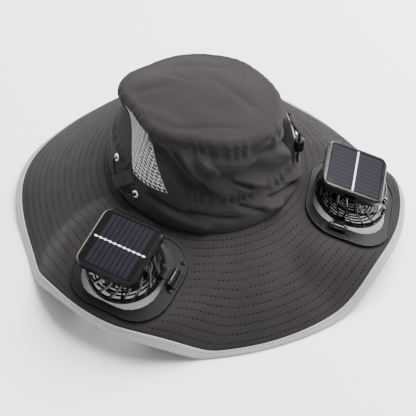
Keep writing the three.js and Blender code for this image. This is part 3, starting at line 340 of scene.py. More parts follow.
def noise_node(nodes, links, place, scale, detail):
    """Noise over a place, at a scale that is a number or a socket."""
    node = nodes.new("ShaderNodeTexNoise")
    node.inputs["Detail"].default_value = detail
    if isinstance(scale, (int, float)):
        node.inputs["Scale"].default_value = scale
    else:
        links.new(scale, node.inputs["Scale"])
    links.new(place, node.inputs["Vector"])
    return node.outputs["Fac"]


def spread_node(nodes, links, value, low, high, from_low=0, from_high=1):
    """A value carried from one range to another."""
    node = nodes.new("ShaderNodeMapRange")
    for label, number in (("From Min", from_low), ("From Max", from_high), ("To Min", low), ("To Max", high)):
        node.inputs[label].default_value = number
    links.new(value, node.inputs["Value"])
    return node.outputs["Result"]


def tint(nodes, links, shader, colour, brightness):
    """Base colour: one colour times a brightness."""
    node = nodes.new("ShaderNodeVectorMath")
    node.operation = "SCALE"
    node.inputs[0].default_value = colour
    links.new(brightness, node.inputs["Scale"])
    links.new(node.outputs[0], shader.inputs["Base Color"])


def relief(nodes, links, shader, height, depth):
    """Relief of a height, a given depth in metres."""
    node = nodes.new("ShaderNodeBump")
    node.inputs["Distance"].default_value = depth
    links.new(height, node.inputs["Height"])
    links.new(node.outputs["Normal"], shader.inputs["Normal"])


# Woven cloth: a plain weave of two crossing threads in the map's metres, and slow changes
# of tone, as woven cloth shows where it has been handled and steamed.
weave, inlet, outlet = node_group(
    "plain_weave",
    [("Map", "NodeSocketVector", None), ("Thread", "NodeSocketFloat", 0.0006)],
    [("Height", "NodeSocketFloat"), ("Tone", "NodeSocketFloat")],
)
nodes, links = weave.nodes, weave.links
split = nodes.new("ShaderNodeSeparateXYZ")
links.new(inlet.outputs["Map"], split.inputs[0])
turn = math_node(nodes, links, "DIVIDE", math.pi, inlet.outputs["Thread"])
warp = math_node(nodes, links, "SINE", math_node(nodes, links, "MULTIPLY", split.outputs[0], turn))
weft = math_node(nodes, links, "SINE", math_node(nodes, links, "MULTIPLY", split.outputs[1], turn))
cross = math_node(nodes, links, "MULTIPLY", warp, weft)
slub = noise_node(nodes, links, inlet.outputs["Map"], 900, 2)
height = math_node(nodes, links, "ADD", math_node(nodes, links, "ABSOLUTE", cross), slub)
links.new(height, outlet.inputs["Height"])
cloud = noise_node(nodes, links, inlet.outputs["Map"], 26, 5)
fleck = math_node(nodes, links, "MULTIPLY", slub, 0.45)
tone = math_node(nodes, links, "ADD", math_node(nodes, links, "MULTIPLY", cloud, 0.55), fleck)
links.new(tone, outlet.inputs["Tone"])


def cloth_material(name, colour, thread=0.0006, spread=0.22, bump=0.00012, sheen=0.04):
    """Cloth in a colour: weave from the group as relief, its tone as a change of brightness."""
    material = bpy.data.materials.new(name)
    material.use_nodes = True
    nodes, links = material.node_tree.nodes, material.node_tree.links
    shader = nodes["Principled BSDF"]
    shader.inputs["Roughness"].default_value = 0.88
    shader.inputs["Sheen Weight"].default_value = sheen
    shader.inputs["Sheen Roughness"].default_value = 0.6
    shader.inputs["Specular IOR Level"].default_value = 0.07
    uv = nodes.new("ShaderNodeUVMap")
    uv.uv_map = "cloth"
    group = nodes.new("ShaderNodeGroup")
    group.node_tree = weave
    group.inputs["Thread"].default_value = thread
    links.new(uv.outputs[0], group.inputs["Map"])
    brightness = spread_node(nodes, links, group.outputs["Tone"], 1 - spread, 1 + spread, 0.3, 0.7)
    tint(nodes, links, shader, colour, brightness)
    relief(nodes, links, shader, group.outputs["Height"], bump)
    return material


azimuths = np.linspace(-180, 180, 361)[:-1]
lengths = np.linspace(-BRIM_TURNED_IN, BRIM_WIDTH - 1.2, 92)
grid_azimuth, grid_along = np.meshgrid(azimuths, lengths, indexing="ij")
brim_points = brim(grid_azimuth, grid_along)
brim_normals = -normals(brim_points, True)
row_place = (grid_along - QUILT_START) / QUILT_PITCH
nearest_row = np.clip(np.round(row_place), 0, QUILT_ROWS - 1)
off_row = (row_place - nearest_row) * QUILT_PITCH
groove = -QUILT_DEPTH * np.exp(-((off_row / GROOVE_HALF) ** 2))
angle = np.radians(grid_azimuth)
ripple = RIPPLE_HEIGHT * np.sin(angle * 37 + nearest_row * 1.7) * np.sin(angle * 11 + grid_along / 9)
ripple *= smooth((grid_along - 6) / 10) * smooth((BRIM_WIDTH - 12 - grid_along) / 10)
near_plate = np.zeros_like(grid_along)
for fan in fans.values():
    x, y, _ = in_fan(fan, brim_points)
    distance = plate_distance(x, y, fan["hinge"])[0]
    near_plate = np.maximum(near_plate, 1 - smooth((distance - 1) / 6))
brim_points += brim_normals * ((groove + ripple) * (1 - near_plate))[..., None]
keep = np.ones((len(azimuths), len(lengths) - 1), bool)
for fan in fans.values():
    x, y, _ = in_fan(fan, brim_points)
    distance, wayx, wayy, _, _ = rounded_distance(
        x, y, fan["hinge"], PLATE_IN - BORDER_IN + 1, PLATE_OUT - BORDER_OUT + 1,
        PLATE_FREE_SIDE - BORDER_FREE + 1, PLATE_HINGE_SIDE - BORDER_HINGE + 1, INNER_CORNER + 1,
    )
    pair = distance + np.roll(distance, -1, 0)
    keep &= pair[:, :-1] + pair[:, 1:] > 0
    inside = np.where((distance < 0) & (distance > -4), -distance, 0)
    brim_points += (inside * wayx)[..., None] * fan["x"] + (inside * wayy)[..., None] * fan["y"]
mean_radius = HEAD_HALF_LENGTH + grid_along
brim_uv = np.stack([np.radians(grid_azimuth) * mean_radius, grid_along], -1) * MM
brim_cloth = cloth_material("brim_cloth", BRIM_COLOUR)
brim_piece = sewn(
    "quilted_brim", grid_mesh("quilted_brim", brim_points[:, ::-1], True, keep[:, ::-1], brim_uv[:, ::-1]),
    CLOTH, brim_cloth, "brim_cloth", "brim",
)

# Quilting: rows of lock stitches in dark spun thread, sunk in the brim's grooves, each a short spindle.
# Its near-black colour is partly the thread's own dark colour and partly painted shade of the needle holes.
# The thread's tone changes with its twist.
def spun_thread(name, colour):
    """Matt thread: fine noise gives the tone and the relief of its twisted strands."""
    material = plain_material(name, colour, 0.85)
    nodes, links = material.node_tree.nodes, material.node_tree.links
    shader = nodes["Principled BSDF"]
    shader.inputs["Specular IOR Level"].default_value = 0.06
    place = nodes.new("ShaderNodeTexCoord")
    strands = noise_node(nodes, links, place.outputs["Object"], 2400, 2)
    tint(nodes, links, shader, colour, spread_node(nodes, links, strands, 0.5, 1.5))
    relief(nodes, links, shader, strands, 0.0001)
    return material


# Thread colour well below the cloth's: partly the thread's own dark colour, partly painted shade of its
# needle holes.
quilting_thread_painted_shade = spun_thread("quilting_thread_painted_shade", (0.003, 0.0028, 0.0028))


def stitches(name, places, runs, tops, size, material):
    """A spindle of six points for each stitch, of a length, width and rise: two ends along the
    run, four round its middle."""
    side = np.cross(tops, runs)
    length, width, rise = size
    half, w = length / 2, width / 2
    corners = np.stack([
        places - runs * half,
        places + side * w,
        places + tops * rise,
        places - side * w,
        places - tops * rise,
        places + runs * half,
    ], 1)
    pattern = np.array([
        (0, 2, 1), (0, 3, 2), (0, 4, 3), (0, 1, 4), (5, 1, 2), (5, 2, 3), (5, 3, 4), (5, 4, 1),
    ])
    faces = (np.arange(len(places)) * 6)[:, None, None] + pattern
    mesh = bpy.data.meshes.new(name)
    mesh.from_pydata((corners.reshape(-1, 3) * MM).tolist(), [], faces.reshape(-1, 3).tolist())
    mesh.materials.append(material)
    mesh.shade_smooth()
    piece = new_object(name, mesh)
    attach(piece, "root")
    return piece


def seam_along(surface, path_azimuth, path_along, pitch, lift):
    """Evenly spaced places along a line on a surface, with the line's run and the normal there."""
    line = surface(path_azimuth, path_along)
    gaps = np.linalg.norm(np.diff(line, axis=0), axis=1)
    total = np.concatenate([[0], np.cumsum(gaps)])
    stations = np.arange(pitch / 2, total[-1], pitch)
    azimuth = np.interp(stations, total, path_azimuth)
    along = np.interp(stations, total, path_along)
    here = surface(azimuth, along)
    run = surface(azimuth + 0.2, along) - surface(azimuth - 0.2, along)
    fall = surface(azimuth, along + 0.3) - surface(azimuth, along - 0.3)
    run /= np.linalg.norm(run, axis=1, keepdims=True)
    top = np.cross(fall, run)
    top /= np.linalg.norm(top, axis=1, keepdims=True)
    run = np.cross(np.cross(top, run), top)
    return here + top * lift, run, top


QUILT_STITCH = (2.7, 1.2, 0.3)
whole_turn = np.linspace(-180, 180, 1441)
rows = []
for row in range(QUILT_ROWS):
    along = np.full_like(whole_turn, QUILT_START + row * QUILT_PITCH)
    rows.append(seam_along(brim, whole_turn, along, STITCH_PITCH, CLOTH / 2 - QUILT_DEPTH + 0.1))
places, runs, tops = (np.concatenate([row[k] for row in rows]) for k in range(3))
clear = np.ones(len(places), bool)
for fan in fans.values():
    x, y, _ = in_fan(fan, places)
    distance = plate_distance(x, y, fan["hinge"])[0]
    clear &= distance > 1.5
stitches(
    "brim_stitching", places[clear], runs[clear], tops[clear], QUILT_STITCH, quilting_thread_painted_shade,
)

# Binding: light grey woven tape, 16 mm wide, folded in half over the brim's edge and sewn
# down through both cloths with one row of stitches in a darker grey thread.
TAPE_COLOUR = (0.33, 0.31, 0.303)
TAPE_WALL = 0.8
TAPE_SLOT = 1.15
tape_material = cloth_material("binding_tape", TAPE_COLOUR, thread=0.0008, spread=0.1, bump=0.00018)


def binding_points():
    """A fold of tape: from its upper edge over the brim's edge, half a round, and back below."""
    start, edge = BRIM_WIDTH - BINDING_WIDTH, BRIM_WIDTH - 1.1
    inner, outer = (brim(azimuths, np.full_like(azimuths, along)) for along in (start, edge))
    run = outer - inner
    run /= np.linalg.norm(run, axis=1, keepdims=True)
    level = np.roll(outer, -1, 0) - np.roll(outer, 1, 0)
    top = np.cross(level, run)
    top /= np.linalg.norm(top, axis=1, keepdims=True)
    top *= np.sign(top[:, 2:3] + 1e-9)
    offset = TAPE_SLOT + TAPE_WALL / 2 - 0.1
    shares = np.linspace(0, 1, 7)
    upper = [inner + (outer - inner) * s + top * offset for s in shares]
    turns = np.linspace(0, math.pi, 9)[1:-1]
    round_edge = [outer + top * offset * math.cos(t) + run * 1.3 * math.sin(t) for t in turns]
    lower = [inner + (outer - inner) * s - top * offset for s in shares[::-1]]
    return np.stack(upper + round_edge + lower, 1)


tape_points = binding_points()
tape_points[..., 2] = np.maximum(tape_points[..., 2], TAPE_WALL / 2 + 0.02)
tape_steps = np.arange(tape_points.shape[1]) * 1.2
tape_uv = np.stack(np.broadcast_arrays(np.radians(azimuths)[:, None] * 200, tape_steps[None]), -1) * MM
sewn(
    "edge_binding", grid_mesh("edge_binding", tape_points[:, ::-1], True, None, tape_uv[:, ::-1]),
    TAPE_WALL, tape_material, "binding_tape", "brim_binding",
)
TAPE_STITCH = (2.7, 0.8, 0.25)
along = np.full_like(whole_turn, BRIM_WIDTH - BINDING_WIDTH + 2.6)
places, runs, tops = seam_along(brim, whole_turn, along, STITCH_PITCH, TAPE_SLOT + TAPE_WALL - 0.05)
tape_thread = spun_thread("tape_thread", (0.10, 0.095, 0.092))
stitches("binding_stitching", places, runs, tops, TAPE_STITCH, tape_thread)

# Crown: a plain band over the brim's seam, a loose wall sewn to it with a row of stitches,
# and a soft round cap whose turned hem overhangs the wall. All of one thin dark cloth that
# lies in folds. Radii are shares of the head opening's, heights of the crown's height.
CROWN_HEIGHT = 88
CROWN_TURN = 7
SEAM_GAP = 0.15
CAP_RISE = 9
CAP_ROLL = 8
CAP_OFFSET = (-9, -12, 0)
CROWN_BASE = CLOTH / 2 + 0.6
CROWN_COLOUR = (0.0212, 0.0188, 0.0184)
CROWN_COLUMNS = ("azimuth", "bandRadius", "bandHeight", "waistRadius", "hemRadius", "hemHeight")
CROWN_SECTIONS = [dict(zip(CROWN_COLUMNS, row)) for row in (
    (-180, 0.92, 0.34, 0.82, 0.64, 0.86),
    (-150, 0.92, 0.38, 0.83, 0.71, 0.87),
    (-120, 0.93, 0.44, 0.83, 0.86, 0.91),
    (-90, 0.94, 0.48, 0.80, 0.76, 0.92),
    (-60, 0.94, 0.39, 0.84, 0.78, 0.92),
    (-30, 0.90, 0.38, 0.81, 0.73, 0.92),
    (0, 0.89, 0.32, 0.84, 0.81, 0.92),
    (30, 0.91, 0.27, 0.86, 0.84, 0.92),
    (60, 0.94, 0.27, 0.85, 0.75, 0.93),
    (90, 0.95, 0.30, 0.83, 0.65, 0.92),
    (120, 0.94, 0.32, 0.83, 0.63, 0.89),
    (150, 0.93, 0.33, 0.82, 0.62, 0.86),
)]

# Folds: from one place to another, azimuth and height share; width a share of the crown's
# height, depth a share of the cap's roll. The first seven are the main ones.
FOLDS = [
    (-56, 0.84, -24, 0.42, 0.08, -0.75),
    (-38, 0.90, -4, 0.36, 0.10, 0.60),
    (-22, 0.82, 6, 0.74, 0.06, 0.55),
    (10, 0.62, 33, 0.30, 0.10, -0.70),
    (28, 0.74, 44, 0.44, 0.07, 0.45),
    (150, 0.80, 178, 0.42, 0.10, -0.50),
    (-150, 0.82, -128, 0.50, 0.09, -0.60),
    (-42, 0.80, -16, 0.42, 0.04, -0.68),
    (-24, 0.84, 6, 0.38, 0.035, 0.60),
    (-36, 0.86, -26, 0.60, 0.03, 0.45),
    (-12, 0.66, 6, 0.42, 0.035, -0.63),
    (-4, 0.60, 14, 0.40, 0.03, 0.54),
    (14, 0.84, 40, 0.62, 0.06, -0.60),
    (44, 0.86, 46, 0.34, 0.035, -0.69),
    (50, 0.86, 52, 0.34, 0.03, 0.60),
    (57, 0.86, 58, 0.34, 0.035, -0.66),
    (84, 0.80, 108, 0.44, 0.06, 0.52),
    (120, 0.84, 134, 0.46, 0.06, -0.52),
    (-176, 0.80, -160, 0.50, 0.06, 0.52),
    (-54, 0.30, -30, 0.18, 0.045, -0.68),
    (-44, 0.20, -22, 0.10, 0.04, 0.51),
    (-30, 0.24, -6, 0.16, 0.035, -0.60),
    (-2, 0.27, 10, 0.16, 0.028, -0.75),
    (4, 0.22, 22, 0.10, 0.035, 0.54),
    (18, 0.20, 40, 0.10, 0.03, -0.54),
    (34, 0.22, 50, 0.10, 0.03, 0.45),
    (48, 0.22, 74, 0.12, 0.035, -0.48),
    (100, 0.24, 130, 0.12, 0.04, 0.33),
    (170, 0.26, 200, 0.14, 0.04, -0.33),
    (-110, 0.30, -86, 0.12, 0.04, 0.30),
]


# Soft creases of the cap, from one place to another in mm from its middle, width and depth.
CAP_CREASES = [
    (18, 8, 35, -31, 5, -1.5),
    (-11, 29, -1, 15, 4, -1.2),
    (-43, 25, -25, 20, 6, -1.8),
    (-31, -33, 11, -52, 3, -1.1),
    (-52, 2, -34, -26, 5, 1.2),
    (2, 44, 30, 30, 5, -1.0),
]


def fold_depth(azimuth, height):
    """Sum over the folds: depth times a bell across the fold and a bell beyond its ends."""
    per_degree = math.radians(HEAD_HALF_WIDTH) / CROWN_HEIGHT
    depth = np.zeros_like(azimuth)
    for start, start_height, end, end_height, width, deep in FOLDS:
        run_x, run_y = (end - start) * per_degree, end_height - start_height
        length = math.hypot(run_x, run_y)
        x = ((azimuth - start + 540) % 360 - 180) * per_degree
        y = height - start_height
        along = (x * run_x + y * run_y) / length
        across = (x * run_y - y * run_x) / length
        beyond = np.maximum(np.maximum(-along, along - length), 0)
        depth += deep * CAP_ROLL * np.exp(-((across / width) ** 2) - (beyond / (1.5 * width)) ** 2)
    return depth


def crown(azimuth, level):
    """Crown's middle surface: level 0 the seam, 1 the band's top, 2 the cap's hem, 3 its middle.
    Radius and height run between the sections' columns, with the folds added to the radius;
    the cap rolls over a quarter round at its rim and rises to its middle."""
    head = head_radius(azimuth)
    section = {name: column(CROWN_SECTIONS, name, azimuth) for name in CROWN_COLUMNS[1:]}
    band_height, hem_height = (section[name] * CROWN_HEIGHT for name in ("bandHeight", "hemHeight"))
    band, waist, hem = (section[name] * head for name in ("bandRadius", "waistRadius", "hemRadius"))
    direction = outward(azimuth)
    low = np.clip(level, 0, 1)
    band_r = head + (band - head) * low ** 1.4 + np.sin(low * math.pi) * 0.02 * head
    t = np.clip(level - 1, 0, 1)
    wall_r = (1 - t) * (1 - 2 * t) * band + 4 * t * (1 - t) * waist + t * (2 * t - 1) * hem
    radius = np.where(level <= 1, band_r, wall_r)
    height = np.where(level <= 1, band_height * low, band_height + (hem_height - band_height) * t)
    share = height / CROWN_HEIGHT
    in_band = smooth(3 * low) * smooth(5 * (1 - low)) * 0.9
    in_wall = smooth(4 * t) * smooth(4 * (1 - t))
    radius = radius + fold_depth(azimuth, share) * np.where(level <= 1, in_band, in_wall)
    points = direction * radius[..., None]
    points[..., 2] = height
    t = np.clip(level - 2, 0, 1)
    edge = np.minimum(1, t * 4) * math.pi / 2
    rest = np.maximum(0, (t - 0.25) / 0.75)
    rim = direction * (hem - CAP_ROLL * (1 - np.cos(edge)))[..., None]
    cap = rim * (1 - rest[..., None]) + np.array(CAP_OFFSET) * rest[..., None]
    rim_height = hem_height + CAP_ROLL * np.sin(edge)
    cap[..., 2] = rim_height + (CROWN_HEIGHT + CAP_RISE - rim_height) * (1 - (1 - rest) ** 2)
    points = np.where((level > 2)[..., None], cap, points)
    return points + SEAM_CENTRE + (0, 0, CROWN_BASE)


JOINT = 0.001
VENT_BOTTOM_FRONT, VENT_TOP_FRONT = 51, 73
VENT_BOTTOM_REAR, VENT_TOP_REAR = 77, 108
HEM_PUCKER, SEAM_PUCKER, CAP_DENT, HEM_WAVE = 1.0, 0.7, 0.9, 0.5


def vent_edges(level):
    """Degrees from the crown's middle to a vent's front and rear edges, even along the wall."""
    front = VENT_BOTTOM_FRONT + (VENT_TOP_FRONT - VENT_BOTTOM_FRONT) * (level - 1)
    rear = VENT_BOTTOM_REAR + (VENT_TOP_REAR - VENT_BOTTOM_REAR) * (level - 1)
    return front, rear


def gathered(azimuth, level):
    """Crown with puckers: short ripples below the cap's hem and by the band's seam, though not
    under the vents, slow dents in the cap, and its creases."""
    points = crown(azimuth, level)
    angle = np.radians(azimuth)
    wander = np.sin(angle * 5 + 1) + 0.6 * np.sin(angle * 13)
    below_hem = np.exp(-(((level - 1.93) / 0.12) ** 2)) * (level <= 2)
    by_seam = np.exp(-(((level - 1.02) / 0.09) ** 2)) + np.exp(-(((level - 0.98) / 0.1) ** 2)) * 0.6
    turn = np.abs((azimuth - CROWN_TURN + 540) % 360 - 180)
    by_seam *= 1 - smooth((turn - VENT_BOTTOM_FRONT + 4) / 3) * smooth((VENT_BOTTOM_REAR + 4 - turn) / 3)
    ripple = HEM_PUCKER * np.sin(angle * 46 + 3 * wander) * below_hem
    ripple += SEAM_PUCKER * np.sin(angle * 58 + 4 * wander) * by_seam
    dents = CAP_DENT * np.sin(angle * 3 + 2 * level) * np.sin(level * 5 + angle) * smooth((level - 2.2) * 4)
    hem_ripple = HEM_WAVE * np.sin(angle * 39 + 3 * wander) * np.exp(-(((level - 2.08) / 0.08) ** 2))
    for start_x, start_y, end_x, end_y, width, deep in CAP_CREASES:
        run = np.array([end_x - start_x, end_y - start_y])
        length = np.hypot(*run)
        offset = points[..., :2] - SEAM_CENTRE[:2] - CAP_OFFSET[:2] - (start_x, start_y)
        along, across = offset @ run / length, offset @ (run[::-1] * (1, -1)) / length
        beyond = np.maximum(np.maximum(-along, along - length), 0)
        bell = np.exp(-((across / width) ** 2) - (beyond / (2 * width)) ** 2)
        dents += deep * bell * smooth((level - 2.1) * 5)
    points[..., 2] += dents * smooth((3 - level) * 3)
    return points + outward(azimuth) * (ripple + hem_ripple)[..., None]


def cloth_uv(points, wrap):
    """A map in metres: lengths measured along the grid's own lines, from its middle row."""
    across = np.linalg.norm(np.diff(points, axis=0), axis=2).mean(1)
    up = np.linalg.norm(np.diff(points, axis=1), axis=2).mean(0)
    u = np.concatenate([[0], np.cumsum(across)])
    v = np.concatenate([[0], np.cumsum(up)])
    return np.stack(np.meshgrid(u, v, indexing="ij"), -1) * MM


crown_cloth = cloth_material("crown_cloth", CROWN_COLOUR, thread=0.0005, spread=0.16, bump=0.0001)


def crown_piece(name, from_azimuth, to_azimuth, columns, levels, wrap, *nodes, tuck=0):
    """A part of the gathered crown between azimuths; past level 1 a tucked one lies further in."""
    shares = np.linspace(0, 1, columns + 1)[:-1] if wrap else np.linspace(0, 1, columns)
    level = np.broadcast_to(levels, (len(shares), len(levels)))
    start, end = (np.broadcast_to(a, level.shape) for a in (from_azimuth, to_azimuth))
    azimuth = start + (end - start) * shares[:, None]
    points = gathered(azimuth, level) - outward(azimuth) * (tuck * smooth((level - 1) / 0.02))[..., None]
    mesh = grid_mesh(name, points, wrap, None, cloth_uv(points, wrap))
    return sewn(name, mesh, CLOTH, crown_cloth, "crown_cloth", *nodes)


band_levels = np.concatenate([np.linspace(0, 1 - JOINT, 26), [1.02, 1.06]])
crown_piece("band_cloth", -180, 180, 320, band_levels, True, "crown_band", tuck=2.8)
wall_levels = np.linspace(1 + JOINT, 2 - JOINT, 44)
vent_front, vent_rear = vent_edges(wall_levels)
crown_piece(
    "wall_cloth_front", CROWN_TURN - vent_front + SEAM_GAP, CROWN_TURN + vent_front - SEAM_GAP,
    150, wall_levels, False, "crown_wall_front",
)
crown_piece(
    "wall_cloth_back", CROWN_TURN + vent_rear + SEAM_GAP, CROWN_TURN + 360 - vent_rear - SEAM_GAP,
    140, wall_levels, False, "crown_wall_back",
)
cap_levels = 2 + np.concatenate([np.linspace(JOINT, 0.25, 12), np.linspace(0.3, 0.985, 26)])
cap_piece = crown_piece("cap_cloth", -180, 180, 320, cap_levels, True)

# The cap's middle is closed by one last face over its smallest ring.
shell = bmesh.new()
shell.from_mesh(cap_piece.data)
above = (CROWN_HEIGHT + SEAM_HEIGHT) * MM
smallest = [edge for edge in shell.edges if edge.is_boundary and edge.verts[0].co.z > above]
bmesh.ops.contextual_create(shell, geom=smallest)
shell.to_mesh(cap_piece.data)
shell.free()
cap_piece.data.shade_smooth()
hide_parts("crown_cap")

# Crown stitching: dark spun thread, one row above and one below the band's seam, which hold
# the wall to the band, and one along the cap's hem.
CROWN_STITCH = (2.6, 0.9, 0.25)
crown_thread = spun_thread("crown_thread", (0.004, 0.0036, 0.0036))
rows = []
for level in (1.05, 0.96, 2.05):
    here, run, top = seam_along(gathered, whole_turn, np.full_like(whole_turn, level), STITCH_PITCH, 0)
    around = outward(np.interp(np.arange(len(here)), [0, len(here)], [-180, 180]))
    top = top * np.sign(np.sum(top * around, 1))[:, None]
    rows.append((here + top * CLOTH / 2, run, top))
places, runs, tops = (np.concatenate([row[k] for row in rows]) for k in range(3))
stitches("crown_stitching", places, runs, tops, CROWN_STITCH, crown_thread)

# Mesh vents: light grey knitted net with staggered round openings. Each is one panel, sewn
# between the front and back walls, the band and the cap.
NET_COLOUR = (0.50, 0.475, 0.465)
NET_ACROSS, NET_UP = 8, 15
NET_FINE = 6
NET_WALL = 0.9
net_material = cloth_material("vent_net", NET_COLOUR, thread=0.0005, spread=0.08, bump=0.00015)


def vent(name, side, node):
    """A grid between the vent's two edges, six by six small faces to a mesh, with the middle
    of each left open and every other row set over by half a mesh."""
    u = np.linspace(0, 1, NET_ACROSS * NET_FINE + 1)
    v = np.linspace(0, 1, NET_UP * NET_FINE + 1)
    level = 1 + JOINT + (1 - 2 * JOINT) * np.broadcast_to(v, (len(u), len(v)))
    front, rear = (CROWN_TURN + side * edge for edge in vent_edges(level))
    points = crown(front + (rear - front) * u[:, None], level)
    i, j = np.meshgrid(np.arange(len(u) - 1), np.arange(len(v) - 1), indexing="ij")
    row = j // NET_FINE
    set_over = (i + (row % 2) * NET_FINE // 2) % NET_FINE
    up = j % NET_FINE
    hole = (set_over >= 1) & (up >= 1)
    hole &= ~(((set_over == 1) | (set_over == 5)) & ((up == 1) | (up == 5)))
    hole &= (i > 0) & (i < len(u) - 2) & (j > 0) & (j < len(v) - 2)
    order = slice(None) if side > 0 else slice(None, None, -1)
    mesh = grid_mesh(name, points[order], False, (~hole)[order], cloth_uv(points[order], False))
    piece = sewn(name, mesh, NET_WALL, net_material, "vent_mesh", node)
    rounding = piece.modifiers.new("rounding", "SUBSURF")
    rounding.levels = 1
    rounding.render_levels = 1
    piece.modifiers.move(1, 0)
    return piece


vent("vent_net_left", -1, "mesh_vent_left")
vent("vent_net_right", 1, "mesh_vent_right")


# Moulded black plastic of the plates, rivets, brackets, cages, rotors and housings: fine
# spark-eroded grain, faint rubbing marks and dust in the tone and the gloss.
grain, inlet, outlet = node_group(
    "moulded_grain",
    [("Place", "NodeSocketVector", None), ("Grain", "NodeSocketFloat", 1800.0)],
    [("Height", "NodeSocketFloat"), ("Rubbed", "NodeSocketFloat")],
)
nodes, links = grain.nodes, grain.links
fine = noise_node(nodes, links, inlet.outputs["Place"], inlet.outputs["Grain"], 3)
links.new(fine, outlet.inputs["Height"])
links.new(noise_node(nodes, links, inlet.outputs["Place"], 70, 6), outlet.inputs["Rubbed"])


def moulded_material(name, colour, roughness, bump, metallic=0.0, specular=0.5):
    """A hard finish: the group's rubbing changes its tone and gloss, its grain is the relief."""
    material = bpy.data.materials.new(name)
    material.use_nodes = True
    nodes, links = material.node_tree.nodes, material.node_tree.links
    shader = nodes["Principled BSDF"]
    shader.inputs["Metallic"].default_value = metallic
    shader.inputs["Specular IOR Level"].default_value = specular
    place = nodes.new("ShaderNodeTexCoord")
    group = nodes.new("ShaderNodeGroup")
    group.node_tree = grain
    links.new(place.outputs["Object"], group.inputs["Place"])
    gloss = spread_node(nodes, links, group.outputs["Rubbed"], roughness * 0.7, roughness * 1.4)
    links.new(gloss, shader.inputs["Roughness"])
    mix = nodes.new("ShaderNodeMix")
    mix.data_type = "RGBA"
    mix.inputs["A"].default_value = (*[c * 0.8 for c in colour], 1)
    mix.inputs["B"].default_value = (*[c * 1.3 + 0.002 for c in colour], 1)
    links.new(group.outputs["Rubbed"], mix.inputs["Factor"])
    links.new(mix.outputs["Result"], shader.inputs["Base Color"])
    relief(nodes, links, shader, group.outputs["Height"], bump)
    return material


plate_plastic = moulded_material("plate_plastic", (0.006, 0.0058, 0.0056), 0.36, 0.00008, specular=0.14)
cage_plastic = moulded_material("cage_plastic", (0.003, 0.003, 0.003), 0.16, 0.00003, specular=0.4)
housing_plastic = moulded_material("housing_plastic", (0.002, 0.002, 0.002), 0.14, 0.00002, specular=0.4)
eyelet_metal = moulded_material("eyelet_metal", (0.55, 0.55, 0.54), 0.28, 0.00003, 1.0)


def finish_node(name, material):
    """Gives a kept node its finish."""
    piece = frame["nodes"][name]
    piece.data.materials.clear()
    piece.data.materials.append(material)


for name in ("left", "right"):
    finish_node(f"fan_plate_{name}", plate_plastic)
    finish_node(f"hinge_bracket_{name}", plate_plastic)
    finish_node(f"fan_rotor_{name}", cage_plastic)
    finish_node(f"panel_housing_{name}", housing_plastic)
    for k in range(1, 5):
        finish_node(f"rivet_{name}_{k}", plate_plastic)
    for k in (1, 2):
        finish_node(f"eyelet_{name}_{k}", eyelet_metal)
finish_node("cord_lock", cage_plastic)

# Fan cages: glossy black mouldings. A stepped ring at the foot, a basket of narrow ribs that
# swirl and curve in to the lid, a hoop through them, a guard of rings and spokes below, the
# motor and its shaft under the lid, and the hinge's arm and knuckle.
CAGE_RADIUS, CAGE_TOP_RADIUS, CAGE_BASE, CAGE_HEIGHT, CAGE_RING = 36, 27, 3.4, 26, 3.5
CAGE_RIBS, CAGE_SWIRL, CAGE_LID = 18, 34, 2.4
HINGE_OFFSET, HINGE_HEIGHT, HINGE_ALONG, HINGE_BARREL, KNUCKLE_LENGTH = 44.5, 8, -8, 3, 10
MOTOR_RADIUS, MOTOR_HEIGHT = 8, 7
SHAFT_RADIUS, SHAFT_LENGTH = 1.5, 10.3
RIB_HALF, RIB_DEPTH, HOOP_SHARE = 1.0, 2.2, 0.58
GUARD_RINGS, GUARD_SPOKES = (11, 14, 17, 20, 23, 26, 29), 6


def swept(sections):
    """Closed bodies from rows of section corners: faces between the rows and over both ends."""
    rows, corners = sections.shape[:2]
    i, j = np.meshgrid(np.arange(rows - 1), np.arange(corners), indexing="ij")
    k = (j + 1) % corners
    faces = np.stack([i * corners + j, i * corners + k, (i + 1) * corners + k, (i + 1) * corners + j], -1)
    ends = [list(range(corners))[::-1], [(rows - 1) * corners + n for n in range(corners)]]
    return sections.reshape(-1, 3), faces.reshape(-1, 4).tolist() + ends


def turned(profile, count=96):
    """Ring or disc: a closed profile of radius and height carried round the axis."""
    angle = np.linspace(0, 2 * math.pi, count + 1)[:-1]
    profile = np.array(profile, float)
    points = np.stack([
        profile[None, :, 0] * np.cos(angle)[:, None],
        profile[None, :, 0] * np.sin(angle)[:, None],
        np.broadcast_to(profile[None, :, 1], (count, len(profile))),
    ], -1)
    i, j = np.meshgrid(np.arange(count), np.arange(len(profile)), indexing="ij")
    n, following, k = len(profile), (i + 1) % count, (j + 1) % len(profile)
    faces = np.stack([i * n + j, following * n + j, following * n + k, i * n + k], -1)
    return points.reshape(-1, 3), faces.reshape(-1, 4).tolist()


def block(x0, x1, y0, y1, z0, z1):
    """A square-edged block between two corners."""
    section = np.array([(x0, y0), (x1, y0), (x1, y1), (x0, y1)])
    rows = [np.column_stack([section, np.full(4, z)]) for z in (z0, z1)]
    return swept(np.stack(rows))


def rounded_band(outer, inner, low, high, bevel=0.5):
    """A ring between two radii and two heights, with its outer edges bevelled."""
    return turned([
        (inner, low), (outer - bevel, low), (outer, low + bevel), (outer, high - bevel),
        (outer - bevel, high), (inner, high),
    ])


